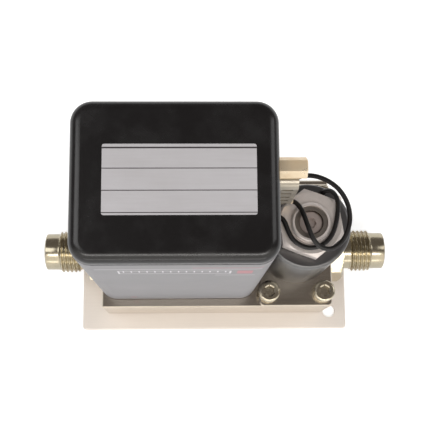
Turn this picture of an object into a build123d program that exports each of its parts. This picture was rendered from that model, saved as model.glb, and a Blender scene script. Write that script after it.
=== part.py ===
from build123d import *
from math import cos, radians, sin, tan
import os

os.makedirs("parts", exist_ok=True)

# Thermal mass flow controller, in millimetres. X runs along the flow from the inlet (-X) to the outlet (+X),
# Y runs from the front to the back, and Z = 0 is the underside of the mounting plate, below the port axis.

# Mounting plate
PLATE_LENGTH = 94.0
PLATE_FRONT = -26.2
PLATE_THICKNESS = 1.5
PLATE_CORNER = 1.2
PLATE_EDGE = 0.5
PLATE_HOLE = 4.3
PLATE_HOLE_INSET = (6.0, 6.2)

# Flow body and its passages
BODY_LENGTH = 76.2
BODY_FRONT = -20.5
BODY_BACK = 22.5
BODY_HEIGHT = 25.4
BODY_EDGE = 0.4
PORT_HEIGHT = 12.7
BYPASS_BORE = 12.0
BYPASS_END_X = 8.0
TAP_BORE = 2.0
TAP_X = (-22.0, 4.0)
FEED_BORE = 3.4
FEED_HEIGHT = 17.7
EXIT_BORE = 3.0
EXIT_HEIGHT = 9.7

# Port adapters, with a face-seal nose
SPIGOT_DIAMETER = 16.0
SPIGOT_LENGTH = 5.5
ADAPTER_HEX = 19.05
ADAPTER_HEX_LENGTH = 5.6
ADAPTER_HEX_TURN = 50.0
NECK_DIAMETER = 12.4
NECK_LENGTH = 2.7
THREAD_DIAMETER = 14.28
THREAD_LENGTH = 7.4
NOSE_LENGTH = 4.6
ADAPTER_BORE = 4.6
BEAD_RADIUS = 0.6
BEAD_DIAMETER = 8.2
PORT_SEAL_DIAMETER = 13.8
PORT_SEAL_WIRE = 1.5

# Bypass pack
FILTER_LENGTH = 3.0
FILTER_GAP = 2.0
RESTRICTOR_LENGTH = 20.0
RESTRICTOR_X = -9.0
RESTRICTOR_GROOVES = 16
RESTRICTOR_GROOVE = 0.7
KEEPER_LENGTH = 1.2
KEEPER_SPLIT = 3.0
SLIP = 0.1

# Sensor
SENSOR_BASE = (38.0, 20.0, 7.0)
SENSOR_SEAL_WIRE = 1.0
SENSOR_SEAL_DIAMETER = 3.6
SENSOR_TUBE = 1.0
SENSOR_TUBE_WALL = 0.15
SENSOR_RISE = 17.0
SENSOR_BEND = 4.0
WINDING_DIAMETER = 2.6
WINDING_LENGTH = 6.0
WINDING_GAP = 1.6
SENSOR_COVER = (33.0, 8.0, 21.0)
SENSOR_COVER_WALL = 1.0
SENSOR_SCREW_AT = (6.5, 7.0)

# Control valve
CHAMBER_BORE = 10.0
CHAMBER_FLOOR = 13.0
FLANGE_BORE = 20.0
FLANGE_DEPTH = 2.2
ORIFICE_DIAMETER = 9.7
ORIFICE_HEIGHT = 2.5
ORIFICE_HOLE = 1.2
ORIFICE_SEAT = 2.8
ORIFICE_RISE = 0.8
STEM_DIAMETER = 9.6
STEM_BORE = 7.6
STEM_TOP_GAP = 0.7
CORE_LENGTH = 22.0
ADJUSTER_DIAMETER = 7.2
ADJUSTER_DEPTH = 2.6
ADJUSTER_HEIGHT = 1.4
ADJUSTER_KEY = 3.0
PLUNGER_DIAMETER = 7.0
PLUNGER_TRAVEL = 0.4
SEAT_DIAMETER = 4.4
SEAT_THICKNESS = 1.4
SPRING_DIAMETER = 4.6
SPRING_WIRE = 0.5
SPRING_TURNS = 5
SPRING_LENGTH = 8.0
RETAINER_THICKNESS = 3.0
RETAINER_LENGTH = 24.0
RETAINER_CORNER = 1.5
RETAINER_SCREW_AT = (9.05, 15.9)

# Solenoid coil, which stands clear of the can
COIL_DIAMETER = 25.6
COIL_GAP = 0.4
COIL_HEIGHT = 36.0
COIL_WALL = 1.2
COIL_TOP = 1.6
COIL_RIM = 1.0
COIL_BASE = 1.6
BOBBIN_WALL = 0.9
BOBBIN_FLANGE = 1.2
WINDING_MARGIN = 1.2
LEAD_HOLE = 1.9
LEAD_HOLE_RADIUS = 10.7
LEAD_HOLE_ANGLES = (66.0, 129.0)
WASHER_THICKNESS = 0.8
WASHER_DIAMETER = 18.0
NUT_HEX = 18.0
NUT_HEIGHT = 5.0
NUT_TURN = 39.0
NUT_COLLAR = 11.6
NUT_COLLAR_HEIGHT = 1.5

# Screws
M4 = 4.0
M4_HEAD = 7.0
M4_HEAD_HEIGHT = 4.0
M4_KEY = 3.0
M4_LENGTH = 8.0
M3 = 3.0
M3_HEAD = 5.5
M3_HEAD_HEIGHT = 1.8
M3_LENGTH = 6.0
M3_SLOT = 0.8
PLATE_SCREW_X = 24.0
PLATE_SCREW_LENGTH = 6.5
PLATE_SCREW_HEAD = 7.2
PLATE_SCREW_CONE = 1.3

# Cover can
CAN_LEFT_OVERHANG = 0.3
CAN_LENGTH = 51.3
CAN_FRONT_STEP = 2.9
CAN_BACK_OVERHANG = 0.2
CAN_HEIGHT = 92.0
CAN_WALL = 0.9
CAN_CORNER = 5.5
CAN_TOP_EDGE = 2.8
CAN_SCREW_REACH = 4.0
PLUG_HOLE = 5.0
PLUG_FLANGE = 7.0
PLUG_FLANGE_HEIGHT = 1.0
PLUG_GRIP = 1.6

# Labels
LABEL_FILM = 0.12
TOP_LABEL = (37.4, 17.5)
TOP_LABEL_SHIFT = 1.15
TOP_LABEL_CORNER = 0.6
WRAP_TOP_GAP = 4.4
WRAP_BOTTOM_GAP = 1.0
WRAP_REACH = 13.5

# Electronics
BOARD_LEFT = -35.0
BOARD_RIGHT_GAP = 6.0
BOARD_FRONT = 14.5
BOARD_THICKNESS = 1.6
BOARD_BOTTOM = 5.5
BOARD_TOP_GAP = 6.0
SPACER_LENGTH = 1.5
SPACER_DIAMETER = 5.0
ANGLE_SHEET = 1.0
ANGLE_HEIGHT = 36.0
ANGLE_FOOT = 8.0
ANGLE_BEND = 1.0
ANGLE_SCREW_X = (-29.0, -1.0)
ANGLE_SCREW_HEIGHT = 26.0
CAPACITOR_DIAMETER = 8.0
CAPACITOR_LENGTH = 11.0
CAPACITOR_AT = ((-10.5, 66.0), (-10.5, 76.0), (-19.8, 76.0))
CHIP = (6.4, 18.0, 3.0)
CHIP_AT = ((-25.0, 51.0), (-15.0, 51.0), (-5.0, 51.0))
CHIP_LEGS = 7
CHIP_PITCH = 2.54
RESISTOR_DIAMETER = 2.2
RESISTOR_LENGTH = 6.2
RESISTOR_LEG = 0.6
RESISTOR_X = -1.2
RESISTOR_COUNT = 6
RESISTOR_PITCH = 3.2
RESISTOR_HEIGHT = 66.0
POT = (9.5, 9.5, 4.8)
POT_LEFT = -34.0
POT_HEIGHTS = (66.0, 78.0)
POT_SCREW = 2.3
POT_SCREW_LENGTH = 1.6
HEADER = (10.0, 5.0, 4.0)
HEADER_AT = (-9.0, 38.0)
FLEX = (5.0, 0.3)

# Fifteen-way connector, upright in the can's right wall
CONNECTOR_Y = 7.3
CONNECTOR_DROP = 25.15
CONNECTOR_FLANGE = (39.2, 12.5, 0.8)
SHELL_LENGTH = 25.0
SHELL_WIDTH = 8.36
SHELL_CORNER = 2.6
SHELL_SLANT = 10.0
SHELL_WALL = 0.5
SHELL_PROTRUSION = 6.0
SHELL_DIMPLES = 5
INSULATOR_DEPTH = 4.2
PIN_DIAMETER = 1.0
PIN_PITCH = 2.74
PIN_ROW_GAP = 2.84
PIN_LENGTH = 5.2
PIN_TAIL = 0.6
PIN_TAIL_REACH = (2.0, 3.6)
JACK_SPACING = 33.3
JACK_HEX = 4.76
JACK_PROTRUSION = 7.5
JACK_THREAD = 2.8
JACK_SHANK = 4.2
JACK_BORE_DEPTH = 5.0
JACK_NUT_HEIGHT = 2.0

# Coil leads and their grommet
LEAD_DIAMETER = 1.4
GROMMET_Y = 2.2
GROMMET_RISE = 44.6
GROMMET_HOLE = 4.2
GROMMET_FLANGE = 5.2
GROMMET_LIP = 1.0
LEAD_SPACING = 2.2
LEAD_PAD_INSETS = (4.6, 2.0)

# Points that the leads pass between the grommet and the coil, from the valve axis at the coil's top
FRONT_LEAD_PATH = ((-10.6, 1.1, 6.4), (-8.7, 0.0, 6.9), (-7.6, -2.0, 6.9), (-6.6, -4.6, 6.8),
                   (-4.5, -7.1, 6.7), (-1.2, -8.3, 6.7), (2.3, -7.5, 6.7), (5.0, -4.8, 6.7),
                   (6.8, -1.2, 6.7), (7.5, 2.7, 6.8), (7.7, 6.4, 7.0), (6.7, 9.4, 5.1),
                   (4.9, 10.4, 2.6))
BACK_LEAD_PATH = ((-10.0, 3.8, 6.9), (-7.5, 4.1, 7.9), (-5.3, 3.0, 8.9), (-3.7, 0.6, 9.7),
                  (-2.1, -3.0, 10.0), (-0.3, -6.6, 9.7), (1.6, -8.9, 9.1), (4.2, -10.0, 8.8),
                  (7.0, -9.5, 8.8), (9.3, -7.5, 9.0), (10.8, -4.4, 9.4), (11.1, 0.2, 9.9),
                  (9.7, 5.2, 10.3), (6.6, 9.6, 10.5), (2.1, 12.6, 10.1), (-2.5, 13.4, 8.7),
                  (-5.7, 12.2, 6.1), (-6.8, 9.8, 3.3))

FIT = 0.1
WALL_CLEARANCE = 0.3

# Places worked out from the sizes above
PLATE_TOP = PLATE_THICKNESS
BODY_END = BODY_LENGTH / 2
BODY_MIDDLE = (BODY_FRONT + BODY_BACK) / 2
BODY_DEPTH = BODY_BACK - BODY_FRONT
BODY_TOP = PLATE_TOP + BODY_HEIGHT
PORT_Z = PLATE_TOP + PORT_HEIGHT
BYPASS_START_X = -BODY_END + SPIGOT_LENGTH
ADAPTER_LENGTH = ADAPTER_HEX_LENGTH + NECK_LENGTH + THREAD_LENGTH + NOSE_LENGTH
CHAMBER_Z = PLATE_TOP + CHAMBER_FLOOR
RETAINER_TOP = BODY_TOP + RETAINER_THICKNESS
COIL_TOP_Z = RETAINER_TOP + COIL_HEIGHT
NUT_Z = COIL_TOP_Z + WASHER_THICKNESS
NUT_TOP = NUT_Z + NUT_HEIGHT
COLLAR_TOP = NUT_TOP + NUT_COLLAR_HEIGHT
STEM_TOP = COLLAR_TOP - STEM_TOP_GAP
CORE_Z = STEM_TOP - CORE_LENGTH
SEAT_Z = CHAMBER_Z + ORIFICE_HEIGHT + ORIFICE_RISE
PLUNGER_TOP = CORE_Z - PLUNGER_TRAVEL - FIT
CAN_LEFT = -BODY_END - CAN_LEFT_OVERHANG
CAN_RIGHT = CAN_LEFT + CAN_LENGTH
VALVE_X = CAN_RIGHT + COIL_GAP + COIL_DIAMETER / 2
CAN_FRONT = BODY_FRONT + CAN_FRONT_STEP
CAN_BACK = BODY_BACK + CAN_BACK_OVERHANG
CAN_DEPTH = CAN_BACK - CAN_FRONT
CAN_X = (CAN_LEFT + CAN_RIGHT) / 2
CAN_Y = (CAN_FRONT + CAN_BACK) / 2
CAN_TOP = BODY_TOP + CAN_HEIGHT
WALL_INSIDE = CAN_RIGHT - CAN_WALL
BOARD_RIGHT = WALL_INSIDE - BOARD_RIGHT_GAP
CONNECTOR_Z = CAN_TOP - CONNECTOR_DROP
GROMMET_Z = BODY_TOP + GROMMET_RISE
BOARD_Z = BODY_TOP + BOARD_BOTTOM
BOARD_HEIGHT = CAN_TOP - BOARD_TOP_GAP - BOARD_Z
BOARD_BACK = BOARD_FRONT + BOARD_THICKNESS
ANGLE_FRONT = BOARD_BACK + SPACER_LENGTH
SENSOR_X = sum(TAP_X) / 2
SENSOR_TOP = BODY_TOP + SENSOR_BASE[2]

VALVE_PLANE = Plane(origin=(VALVE_X, 0, 0), x_dir=(1, 0, 0), z_dir=(0, -1, 0))
OUTLET_PLANE = Plane(origin=(BODY_END, 0, PORT_Z), x_dir=(0, 0, 1), z_dir=(0, 1, 0))
INLET_PLANE = Plane(origin=(-BODY_END, 0, PORT_Z), x_dir=(0, 0, 1), z_dir=(0, -1, 0))


def save(piece, name):
    """Label a finished piece and write it as its own STEP file."""
    piece.part.label = name
    export_step(piece.part, f"parts/{name}.step")


def turned(plane, *points):
    """A solid turned about the plane's local Y axis from (radius, height) corners."""
    with BuildPart() as piece:
        with BuildSketch(plane):
            with BuildLine():
                Polyline(*points, close=True)
            make_face()
        revolve(axis=Axis(plane.origin, plane.y_dir))
    return piece


def ring(plane, diameter, wire, height):
    """A round-section ring about the plane's local Y axis, its middle at the given height."""
    with BuildPart() as piece:
        with BuildSketch(plane):
            with Locations((diameter / 2, height)):
                Circle(wire / 2)
        revolve(axis=Axis(plane.origin, plane.y_dir))
    return piece


def hexagon(base, across_flats, height, turn):
    """A hexagonal bar end with its corners turned off at both faces."""
    corner = across_flats / 3**0.5
    bevel = (corner - across_flats / 2) * 0.6
    axis = Axis(base.origin, base.z_dir)
    section = Plane(origin=base.origin, x_dir=base.x_dir, z_dir=base.y_dir * -1)
    with BuildPart() as piece:
        with BuildSketch(base):
            RegularPolygon(across_flats / 2, 6, major_radius=False, rotation=turn)
        extrude(amount=height)
        with BuildSketch(section):
            with BuildLine():
                Polyline((0, 0), (across_flats / 2, 0), (corner, bevel), (corner, height - bevel),
                         (across_flats / 2, height), (0, height), close=True)
            make_face()
        revolve(axis=axis, mode=Mode.INTERSECT)
    return piece


def socket_screw(head_seat, diameter, head, head_height, length, key):
    """A socket-head cap screw whose head stands on the given plane and whose shank runs below it."""
    with BuildPart() as piece:
        with BuildSketch(head_seat):
            Circle(head / 2)
        extrude(amount=head_height)
        chamfer(piece.edges().sort_by(Axis(head_seat.origin, head_seat.z_dir))[-1], 0.3)
        with BuildSketch(head_seat.offset(head_height)):
            RegularPolygon(key / 2, 6, major_radius=False)
        extrude(amount=-head_height * 0.55, mode=Mode.SUBTRACT)
        with BuildSketch(head_seat):
            Circle(diameter / 2 - FIT / 2)
        extrude(amount=-length)
    return piece


def pan_screw(head_seat, diameter, head, head_height, length):
    """A slotted pan-head screw whose head stands on the given plane."""
    with BuildPart() as piece:
        with BuildSketch(head_seat):
            Circle(head / 2)
        extrude(amount=head_height)
        fillet(piece.edges().sort_by(Axis(head_seat.origin, head_seat.z_dir))[-1], head_height * 0.5)
        with BuildSketch(head_seat.offset(head_height)):
            Rectangle(head * 1.2, M3_SLOT)
        extrude(amount=-head_height * 0.45, mode=Mode.SUBTRACT)
        with BuildSketch(head_seat):
            Circle(diameter / 2 - FIT / 2)
        extrude(amount=-length)
    return piece


def group(pieces):
    """Several separate solids as one part."""
    with BuildPart() as piece:
        for one in pieces:
            add(one.part)
    return piece


def round_tube(points, radii, diameter):
    """A round bar along straight runs joined by tangent arcs."""
    with BuildPart() as piece:
        with BuildLine() as path:
            FilletPolyline(*points, radius=radii)
        with BuildSketch(Plane(origin=path.line @ 0, z_dir=path.line % 0)):
            Circle(diameter / 2)
        sweep(path=path.line)
    return piece


def route_radii(points, share=0.45):
    """The bend radius that each corner of a lead's route allows."""
    radii = []
    for before, corner, after in zip(points, points[1:], points[2:]):
        first = Vector(*corner) - Vector(*before)
        second = Vector(*after) - Vector(*corner)
        half_turn = radians(first.get_angle(second)) / 2
        radii.append(share * min(first.length, second.length) / tan(half_turn))
    return radii


def around(angle, radius):
    """The (x, y) place on a circle."""
    return radius * cos(radians(angle)), radius * sin(radians(angle))


# Mounting plate

plate_middle = (PLATE_FRONT + BODY_BACK) / 2
plate_depth = BODY_BACK - PLATE_FRONT
plate_hole_x = PLATE_LENGTH / 2 - PLATE_HOLE_INSET[0]
plate_hole_y = plate_depth / 2 - PLATE_HOLE_INSET[1]

with BuildPart() as mounting_plate:
    with BuildSketch(Plane.XY):
        with Locations((0, plate_middle)):
            RectangleRounded(PLATE_LENGTH, plate_depth, PLATE_CORNER)
            with Locations((plate_hole_x, -plate_hole_y), (-plate_hole_x, plate_hole_y)):
                Circle(PLATE_HOLE / 2, mode=Mode.SUBTRACT)
    extrude(amount=PLATE_THICKNESS)
    ends = mounting_plate.edges().filter_by(Axis.Y).group_by(Axis.Z)[-1]
    chamfer(ends, PLATE_EDGE)
    with Locations((-PLATE_SCREW_X, 0, 0), (PLATE_SCREW_X, 0, 0)):
        with Locations(Location((0, 0, 0), (180, 0, 0))):
            CounterSinkHole(M4 / 2, PLATE_SCREW_HEAD / 2, depth=PLATE_THICKNESS)
save(mounting_plate, "mounting_plate")

plate_screw_section = ((0, 0), (PLATE_SCREW_HEAD / 2 - FIT, 0), (PLATE_SCREW_HEAD / 2 - FIT, 0.05),
                       (M4 / 2 - FIT / 2, PLATE_SCREW_CONE), (M4 / 2 - FIT / 2, PLATE_SCREW_LENGTH),
                       (0, PLATE_SCREW_LENGTH))
plate_screws = group([turned(Plane(origin=(x, 0, 0), x_dir=(1, 0, 0), z_dir=(0, -1, 0)), *plate_screw_section)
                      for x in (-PLATE_SCREW_X, PLATE_SCREW_X)])
with BuildPart() as plate_screw_set:
    add(plate_screws.part)
    with BuildSketch(Plane.XY):
        with Locations((-PLATE_SCREW_X, 0), (PLATE_SCREW_X, 0)):
            RegularPolygon(M4_KEY / 2 * 0.8, 6, major_radius=False)
    extrude(amount=1.6, mode=Mode.SUBTRACT)
save(plate_screw_set, "plate_screws")

# Flow body

retainer_screw_places = [(VALVE_X + sx * RETAINER_SCREW_AT[0], sy * RETAINER_SCREW_AT[1])
                         for sx in (-1, 1) for sy in (-1, 1)]
sensor_screw_places = [(SENSOR_X - SENSOR_SCREW_AT[0], -SENSOR_SCREW_AT[1]),
                       (SENSOR_X + SENSOR_SCREW_AT[0], SENSOR_SCREW_AT[1])]
angle_screw_y = ANGLE_FRONT + ANGLE_SHEET - ANGLE_FOOT / 2 - ANGLE_SHEET
body_top_plane = Plane.XY.offset(BODY_TOP)

with BuildPart() as flow_body:
    with BuildSketch(Plane.XY.offset(PLATE_TOP)):
        with Locations((0, BODY_MIDDLE)):
            Rectangle(BODY_LENGTH, BODY_DEPTH)
    extrude(amount=BODY_HEIGHT)
    chamfer(flow_body.edges(), BODY_EDGE)
    # Port counterbores and the bypass bore
    with BuildSketch(Plane.YZ.offset(-BODY_END)):
        with Locations((0, PORT_Z)):
            Circle(SPIGOT_DIAMETER / 2 + FIT)
    extrude(amount=SPIGOT_LENGTH, mode=Mode.SUBTRACT)
    with BuildSketch(Plane.YZ.offset(BODY_END)):
        with Locations((0, PORT_Z)):
            Circle(SPIGOT_DIAMETER / 2 + FIT)
    extrude(amount=-SPIGOT_LENGTH, mode=Mode.SUBTRACT)
    with BuildSketch(Plane.YZ.offset(BYPASS_START_X)):
        with Locations((0, PORT_Z)):
            Circle(BYPASS_BORE / 2)
    extrude(amount=BYPASS_END_X - BYPASS_START_X, mode=Mode.SUBTRACT)
    # Sensor taps
    with BuildSketch(body_top_plane):
        with Locations(*[(x, 0) for x in TAP_X]):
            Circle(TAP_BORE / 2)
    extrude(amount=PORT_Z - BODY_TOP, mode=Mode.SUBTRACT)
    # Feed to the valve, its chamber, and the way out
    with BuildSketch(Plane.YZ.offset(BYPASS_END_X)):
        with Locations((0, PLATE_TOP + FEED_HEIGHT)):
            Circle(FEED_BORE / 2)
    extrude(amount=VALVE_X - BYPASS_END_X, mode=Mode.SUBTRACT)
    with BuildSketch(body_top_plane):
        with Locations((VALVE_X, 0)):
            Circle(FLANGE_BORE / 2)
    extrude(amount=-FLANGE_DEPTH, mode=Mode.SUBTRACT)
    with BuildSketch(Plane.XY.offset(CHAMBER_Z)):
        with Locations((VALVE_X, 0)):
            Circle(CHAMBER_BORE / 2)
    extrude(amount=BODY_TOP - CHAMBER_Z, mode=Mode.SUBTRACT)
    with BuildSketch(Plane.XY.offset(PLATE_TOP + EXIT_HEIGHT)):
        with Locations((VALVE_X, 0)):
            Circle(EXIT_BORE / 2)
    extrude(amount=CHAMBER_FLOOR - EXIT_HEIGHT, mode=Mode.SUBTRACT)
    with BuildSketch(Plane.YZ.offset(VALVE_X)):
        with Locations((0, PLATE_TOP + EXIT_HEIGHT)):
            Circle(EXIT_BORE / 2)
    extrude(amount=BODY_END - SPIGOT_LENGTH - VALVE_X, mode=Mode.SUBTRACT)
    # Tapped holes
    with BuildSketch(body_top_plane):
        with Locations(*retainer_screw_places):
            Circle(M4 / 2)
    extrude(amount=-M4_LENGTH, mode=Mode.SUBTRACT)
    with BuildSketch(body_top_plane):
        with Locations(*sensor_screw_places, *[(x, angle_screw_y) for x in ANGLE_SCREW_X]):
            Circle(M3 / 2)
    extrude(amount=-M3_LENGTH, mode=Mode.SUBTRACT)
    with BuildSketch(Plane.XY.offset(PLATE_TOP)):
        with Locations((-PLATE_SCREW_X, 0), (PLATE_SCREW_X, 0)):
            Circle(M4 / 2)
    extrude(amount=PLATE_SCREW_LENGTH - PLATE_TOP + FIT, mode=Mode.SUBTRACT)
save(flow_body, "flow_body")

# Port adapters: spigot, hexagon, neck, thread and nose with its sealing bead


def port_adapter(section_plane):
    neck_start = ADAPTER_HEX_LENGTH
    thread_start = neck_start + NECK_LENGTH
    nose_start = thread_start + THREAD_LENGTH
    bore = ADAPTER_BORE / 2
    groove_inner = PORT_SEAL_DIAMETER / 2 - PORT_SEAL_WIRE / 2 - FIT
    groove_outer = PORT_SEAL_DIAMETER / 2 + PORT_SEAL_WIRE / 2 + FIT
    groove_floor = -SPIGOT_LENGTH + PORT_SEAL_WIRE
    outward = section_plane.y_dir
    hex_base = Plane(origin=section_plane.origin, x_dir=(0, 0, 1), z_dir=outward)
    hexagon_part = hexagon(hex_base, ADAPTER_HEX, ADAPTER_HEX_LENGTH, ADAPTER_HEX_TURN)
    bead_part = ring(section_plane, BEAD_DIAMETER, BEAD_RADIUS * 2, ADAPTER_LENGTH - BEAD_RADIUS * 0.4)
    with BuildPart() as piece:
        with BuildSketch(section_plane):
            with BuildLine():
                Polyline((0, -SPIGOT_LENGTH), (groove_inner, -SPIGOT_LENGTH), (groove_inner, groove_floor),
                         (groove_outer, groove_floor), (groove_outer, -SPIGOT_LENGTH),
                         (SPIGOT_DIAMETER / 2, -SPIGOT_LENGTH), (SPIGOT_DIAMETER / 2, 0),
                         (NECK_DIAMETER / 2, neck_start), (NECK_DIAMETER / 2, thread_start - 0.6),
                         (THREAD_DIAMETER / 2 - 0.3, thread_start), (THREAD_DIAMETER / 2, thread_start + 0.5),
                         (THREAD_DIAMETER / 2, nose_start - 0.9), (NECK_DIAMETER / 2, nose_start),
                         (NECK_DIAMETER / 2, ADAPTER_LENGTH - 0.6), (NECK_DIAMETER / 2 - 0.6, ADAPTER_LENGTH),
                         (0, ADAPTER_LENGTH), close=True)
            make_face()
        revolve(axis=Axis(section_plane.origin, outward))
        add(hexagon_part.part)
        add(bead_part.part)
        with BuildSketch(Plane(origin=section_plane.origin - outward * SPIGOT_LENGTH, z_dir=outward)):
            Circle(bore)
        extrude(amount=SPIGOT_LENGTH + ADAPTER_LENGTH, mode=Mode.SUBTRACT)
    return piece


save(port_adapter(INLET_PLANE), "inlet_adapter")
save(port_adapter(OUTLET_PLANE), "outlet_adapter")
seal_height = PORT_SEAL_WIRE / 2 - SPIGOT_LENGTH
save(ring(INLET_PLANE, PORT_SEAL_DIAMETER, PORT_SEAL_WIRE, seal_height), "inlet_seal")
save(ring(OUTLET_PLANE, PORT_SEAL_DIAMETER, PORT_SEAL_WIRE, seal_height), "outlet_seal")

# Filter, laminar bypass pack and its keeper

filter_x = BYPASS_START_X + FILTER_GAP
with BuildPart() as inlet_filter:
    with BuildSketch(Plane.YZ.offset(filter_x)):
        with Locations((0, PORT_Z)):
            Circle(BYPASS_BORE / 2 - SLIP)
    extrude(amount=FILTER_LENGTH)
    chamfer(inlet_filter.edges(), 0.3)
save(inlet_filter, "inlet_filter")

with BuildPart() as flow_restrictor:
    with BuildSketch(Plane.YZ.offset(RESTRICTOR_X - RESTRICTOR_LENGTH / 2)):
        with Locations((0, PORT_Z)):
            Circle(BYPASS_BORE / 2 - SLIP)
            with PolarLocations(BYPASS_BORE / 2 - SLIP, RESTRICTOR_GROOVES):
                Rectangle(RESTRICTOR_GROOVE * 3, RESTRICTOR_GROOVE, mode=Mode.SUBTRACT)
    extrude(amount=RESTRICTOR_LENGTH)
save(flow_restrictor, "flow_restrictor")

keeper_x = RESTRICTOR_X - RESTRICTOR_LENGTH / 2 - KEEPER_LENGTH
with BuildPart() as restrictor_keeper:
    with BuildSketch(Plane.YZ.offset(keeper_x)):
        with Locations((0, PORT_Z)):
            Circle(BYPASS_BORE / 2 - SLIP / 2)
            Circle(BYPASS_BORE / 2 - 1.6, mode=Mode.SUBTRACT)
        with Locations((0, PORT_Z - BYPASS_BORE / 2)):
            Rectangle(KEEPER_SPLIT, BYPASS_BORE / 3, mode=Mode.SUBTRACT)
    extrude(amount=KEEPER_LENGTH)
save(restrictor_keeper, "restrictor_keeper")

# Sensor: base, capillary tube, heater windings, cover, seals and screws

tap_planes = [Plane(origin=(x, 0, BODY_TOP), x_dir=(1, 0, 0), z_dir=(0, -1, 0)) for x in TAP_X]
with BuildPart() as sensor_base:
    with BuildSketch(body_top_plane):
        with Locations((SENSOR_X, 0)):
            RectangleRounded(SENSOR_BASE[0], SENSOR_BASE[1], 2.0)
    extrude(amount=SENSOR_BASE[2])
    fillet(sensor_base.edges().group_by(Axis.Z)[-1], 0.6)
    with BuildSketch(body_top_plane):
        with Locations(*[(x, 0) for x in TAP_X]):
            Circle(SENSOR_TUBE / 2 + SLIP)
    extrude(amount=SENSOR_BASE[2], mode=Mode.SUBTRACT)
    with BuildSketch(body_top_plane):
        with Locations(*[(x, 0) for x in TAP_X]):
            Circle(SENSOR_SEAL_DIAMETER / 2 + SENSOR_SEAL_WIRE / 2 + FIT)
            Circle(SENSOR_SEAL_DIAMETER / 2 - SENSOR_SEAL_WIRE / 2 - FIT, mode=Mode.SUBTRACT)
    extrude(amount=SENSOR_SEAL_WIRE, mode=Mode.SUBTRACT)
    with BuildSketch(body_top_plane):
        with Locations(*sensor_screw_places):
            Circle(M3 / 2 + SLIP)
    extrude(amount=SENSOR_BASE[2], mode=Mode.SUBTRACT)
save(sensor_base, "sensor_base")
save(group([ring(plane, SENSOR_SEAL_DIAMETER, SENSOR_SEAL_WIRE, SENSOR_SEAL_WIRE / 2)
            for plane in tap_planes]),
     "sensor_seals")
save(group([pan_screw(Plane(origin=(x, y, SENSOR_TOP), z_dir=(0, 0, 1)), M3, M3_HEAD, M3_HEAD_HEIGHT,
                      SENSOR_BASE[2] + M3_LENGTH - FIT) for x, y in sensor_screw_places]), "sensor_screws")

tube_top = SENSOR_TOP + SENSOR_RISE
tube_points = [(TAP_X[0], 0, BODY_TOP), (TAP_X[0], 0, tube_top),
               (TAP_X[1], 0, tube_top), (TAP_X[1], 0, BODY_TOP)]
with BuildPart() as sensor_tube:
    with BuildLine() as tube_path:
        FilletPolyline(*tube_points, radius=SENSOR_BEND)
    with BuildSketch(Plane(origin=tube_path.line @ 0, z_dir=tube_path.line % 0)):
        Circle(SENSOR_TUBE / 2)
        Circle(SENSOR_TUBE / 2 - SENSOR_TUBE_WALL, mode=Mode.SUBTRACT)
    sweep(path=tube_path.line)
save(sensor_tube, "sensor_tube")

with BuildPart() as sensor_windings:
    for side in (-1, 1):
        winding_start = SENSOR_X + side * (WINDING_GAP + WINDING_LENGTH) / 2 - WINDING_LENGTH / 2
        with BuildSketch(Plane.YZ.offset(winding_start)):
            with Locations((0, tube_top)):
                Circle(WINDING_DIAMETER / 2)
                Circle(SENSOR_TUBE / 2, mode=Mode.SUBTRACT)
        extrude(amount=WINDING_LENGTH)
save(sensor_windings, "sensor_windings")

with BuildPart() as sensor_cover:
    with BuildSketch(Plane.XY.offset(SENSOR_TOP)):
        with Locations((SENSOR_X, 0)):
            RectangleRounded(SENSOR_COVER[0], SENSOR_COVER[1], 1.5)
    extrude(amount=SENSOR_COVER[2])
    fillet(sensor_cover.edges().group_by(Axis.Z)[-1], 0.8)
    offset(amount=-SENSOR_COVER_WALL, openings=sensor_cover.faces().sort_by(Axis.Z)[0])
save(sensor_cover, "sensor_cover")

# Control valve: orifice, stem, plunger, spring and adjuster

with BuildPart() as valve_orifice:
    with BuildSketch(VALVE_PLANE):
        with BuildLine():
            Polyline((ORIFICE_HOLE / 2, CHAMBER_Z), (ORIFICE_DIAMETER / 2 - 1.0, CHAMBER_Z),
                     (ORIFICE_DIAMETER / 2 - 1.0, CHAMBER_Z + 1.0), (ORIFICE_DIAMETER / 2, CHAMBER_Z + 1.0),
                     (ORIFICE_DIAMETER / 2, SEAT_Z - ORIFICE_RISE),
                     (ORIFICE_SEAT / 2 + 0.5, SEAT_Z - ORIFICE_RISE),
                     (ORIFICE_SEAT / 2, SEAT_Z), (ORIFICE_HOLE / 2, SEAT_Z), close=True)
        make_face()
    revolve(axis=Axis((VALVE_X, 0, 0), (0, 0, 1)))
save(valve_orifice, "valve_orifice")
save(ring(VALVE_PLANE, ORIFICE_DIAMETER - 1.0, 0.9, CHAMBER_Z + 0.5), "orifice_seal")

flange_z = BODY_TOP - FLANGE_DEPTH
with BuildPart() as valve_stem:
    with BuildSketch(VALVE_PLANE):
        with BuildLine():
            Polyline((STEM_BORE / 2, flange_z), (FLANGE_BORE / 2 - 2.2, flange_z),
                     (FLANGE_BORE / 2 - 2.2, flange_z + 1.0),
                     (FLANGE_BORE / 2 - FIT, flange_z + 1.0), (FLANGE_BORE / 2 - FIT, BODY_TOP),
                     (STEM_DIAMETER / 2, BODY_TOP), (STEM_DIAMETER / 2, STEM_TOP),
                     (ADJUSTER_DIAMETER / 2, STEM_TOP),
                     (ADJUSTER_DIAMETER / 2, STEM_TOP - ADJUSTER_DEPTH), (0, STEM_TOP - ADJUSTER_DEPTH),
                     (0, CORE_Z),
                     (STEM_BORE / 2, CORE_Z), close=True)
        make_face()
    revolve(axis=Axis((VALVE_X, 0, 0), (0, 0, 1)))
save(valve_stem, "valve_stem")
save(ring(VALVE_PLANE, FLANGE_BORE - 3.0, 1.0, flange_z + 0.5), "stem_seal")

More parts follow.
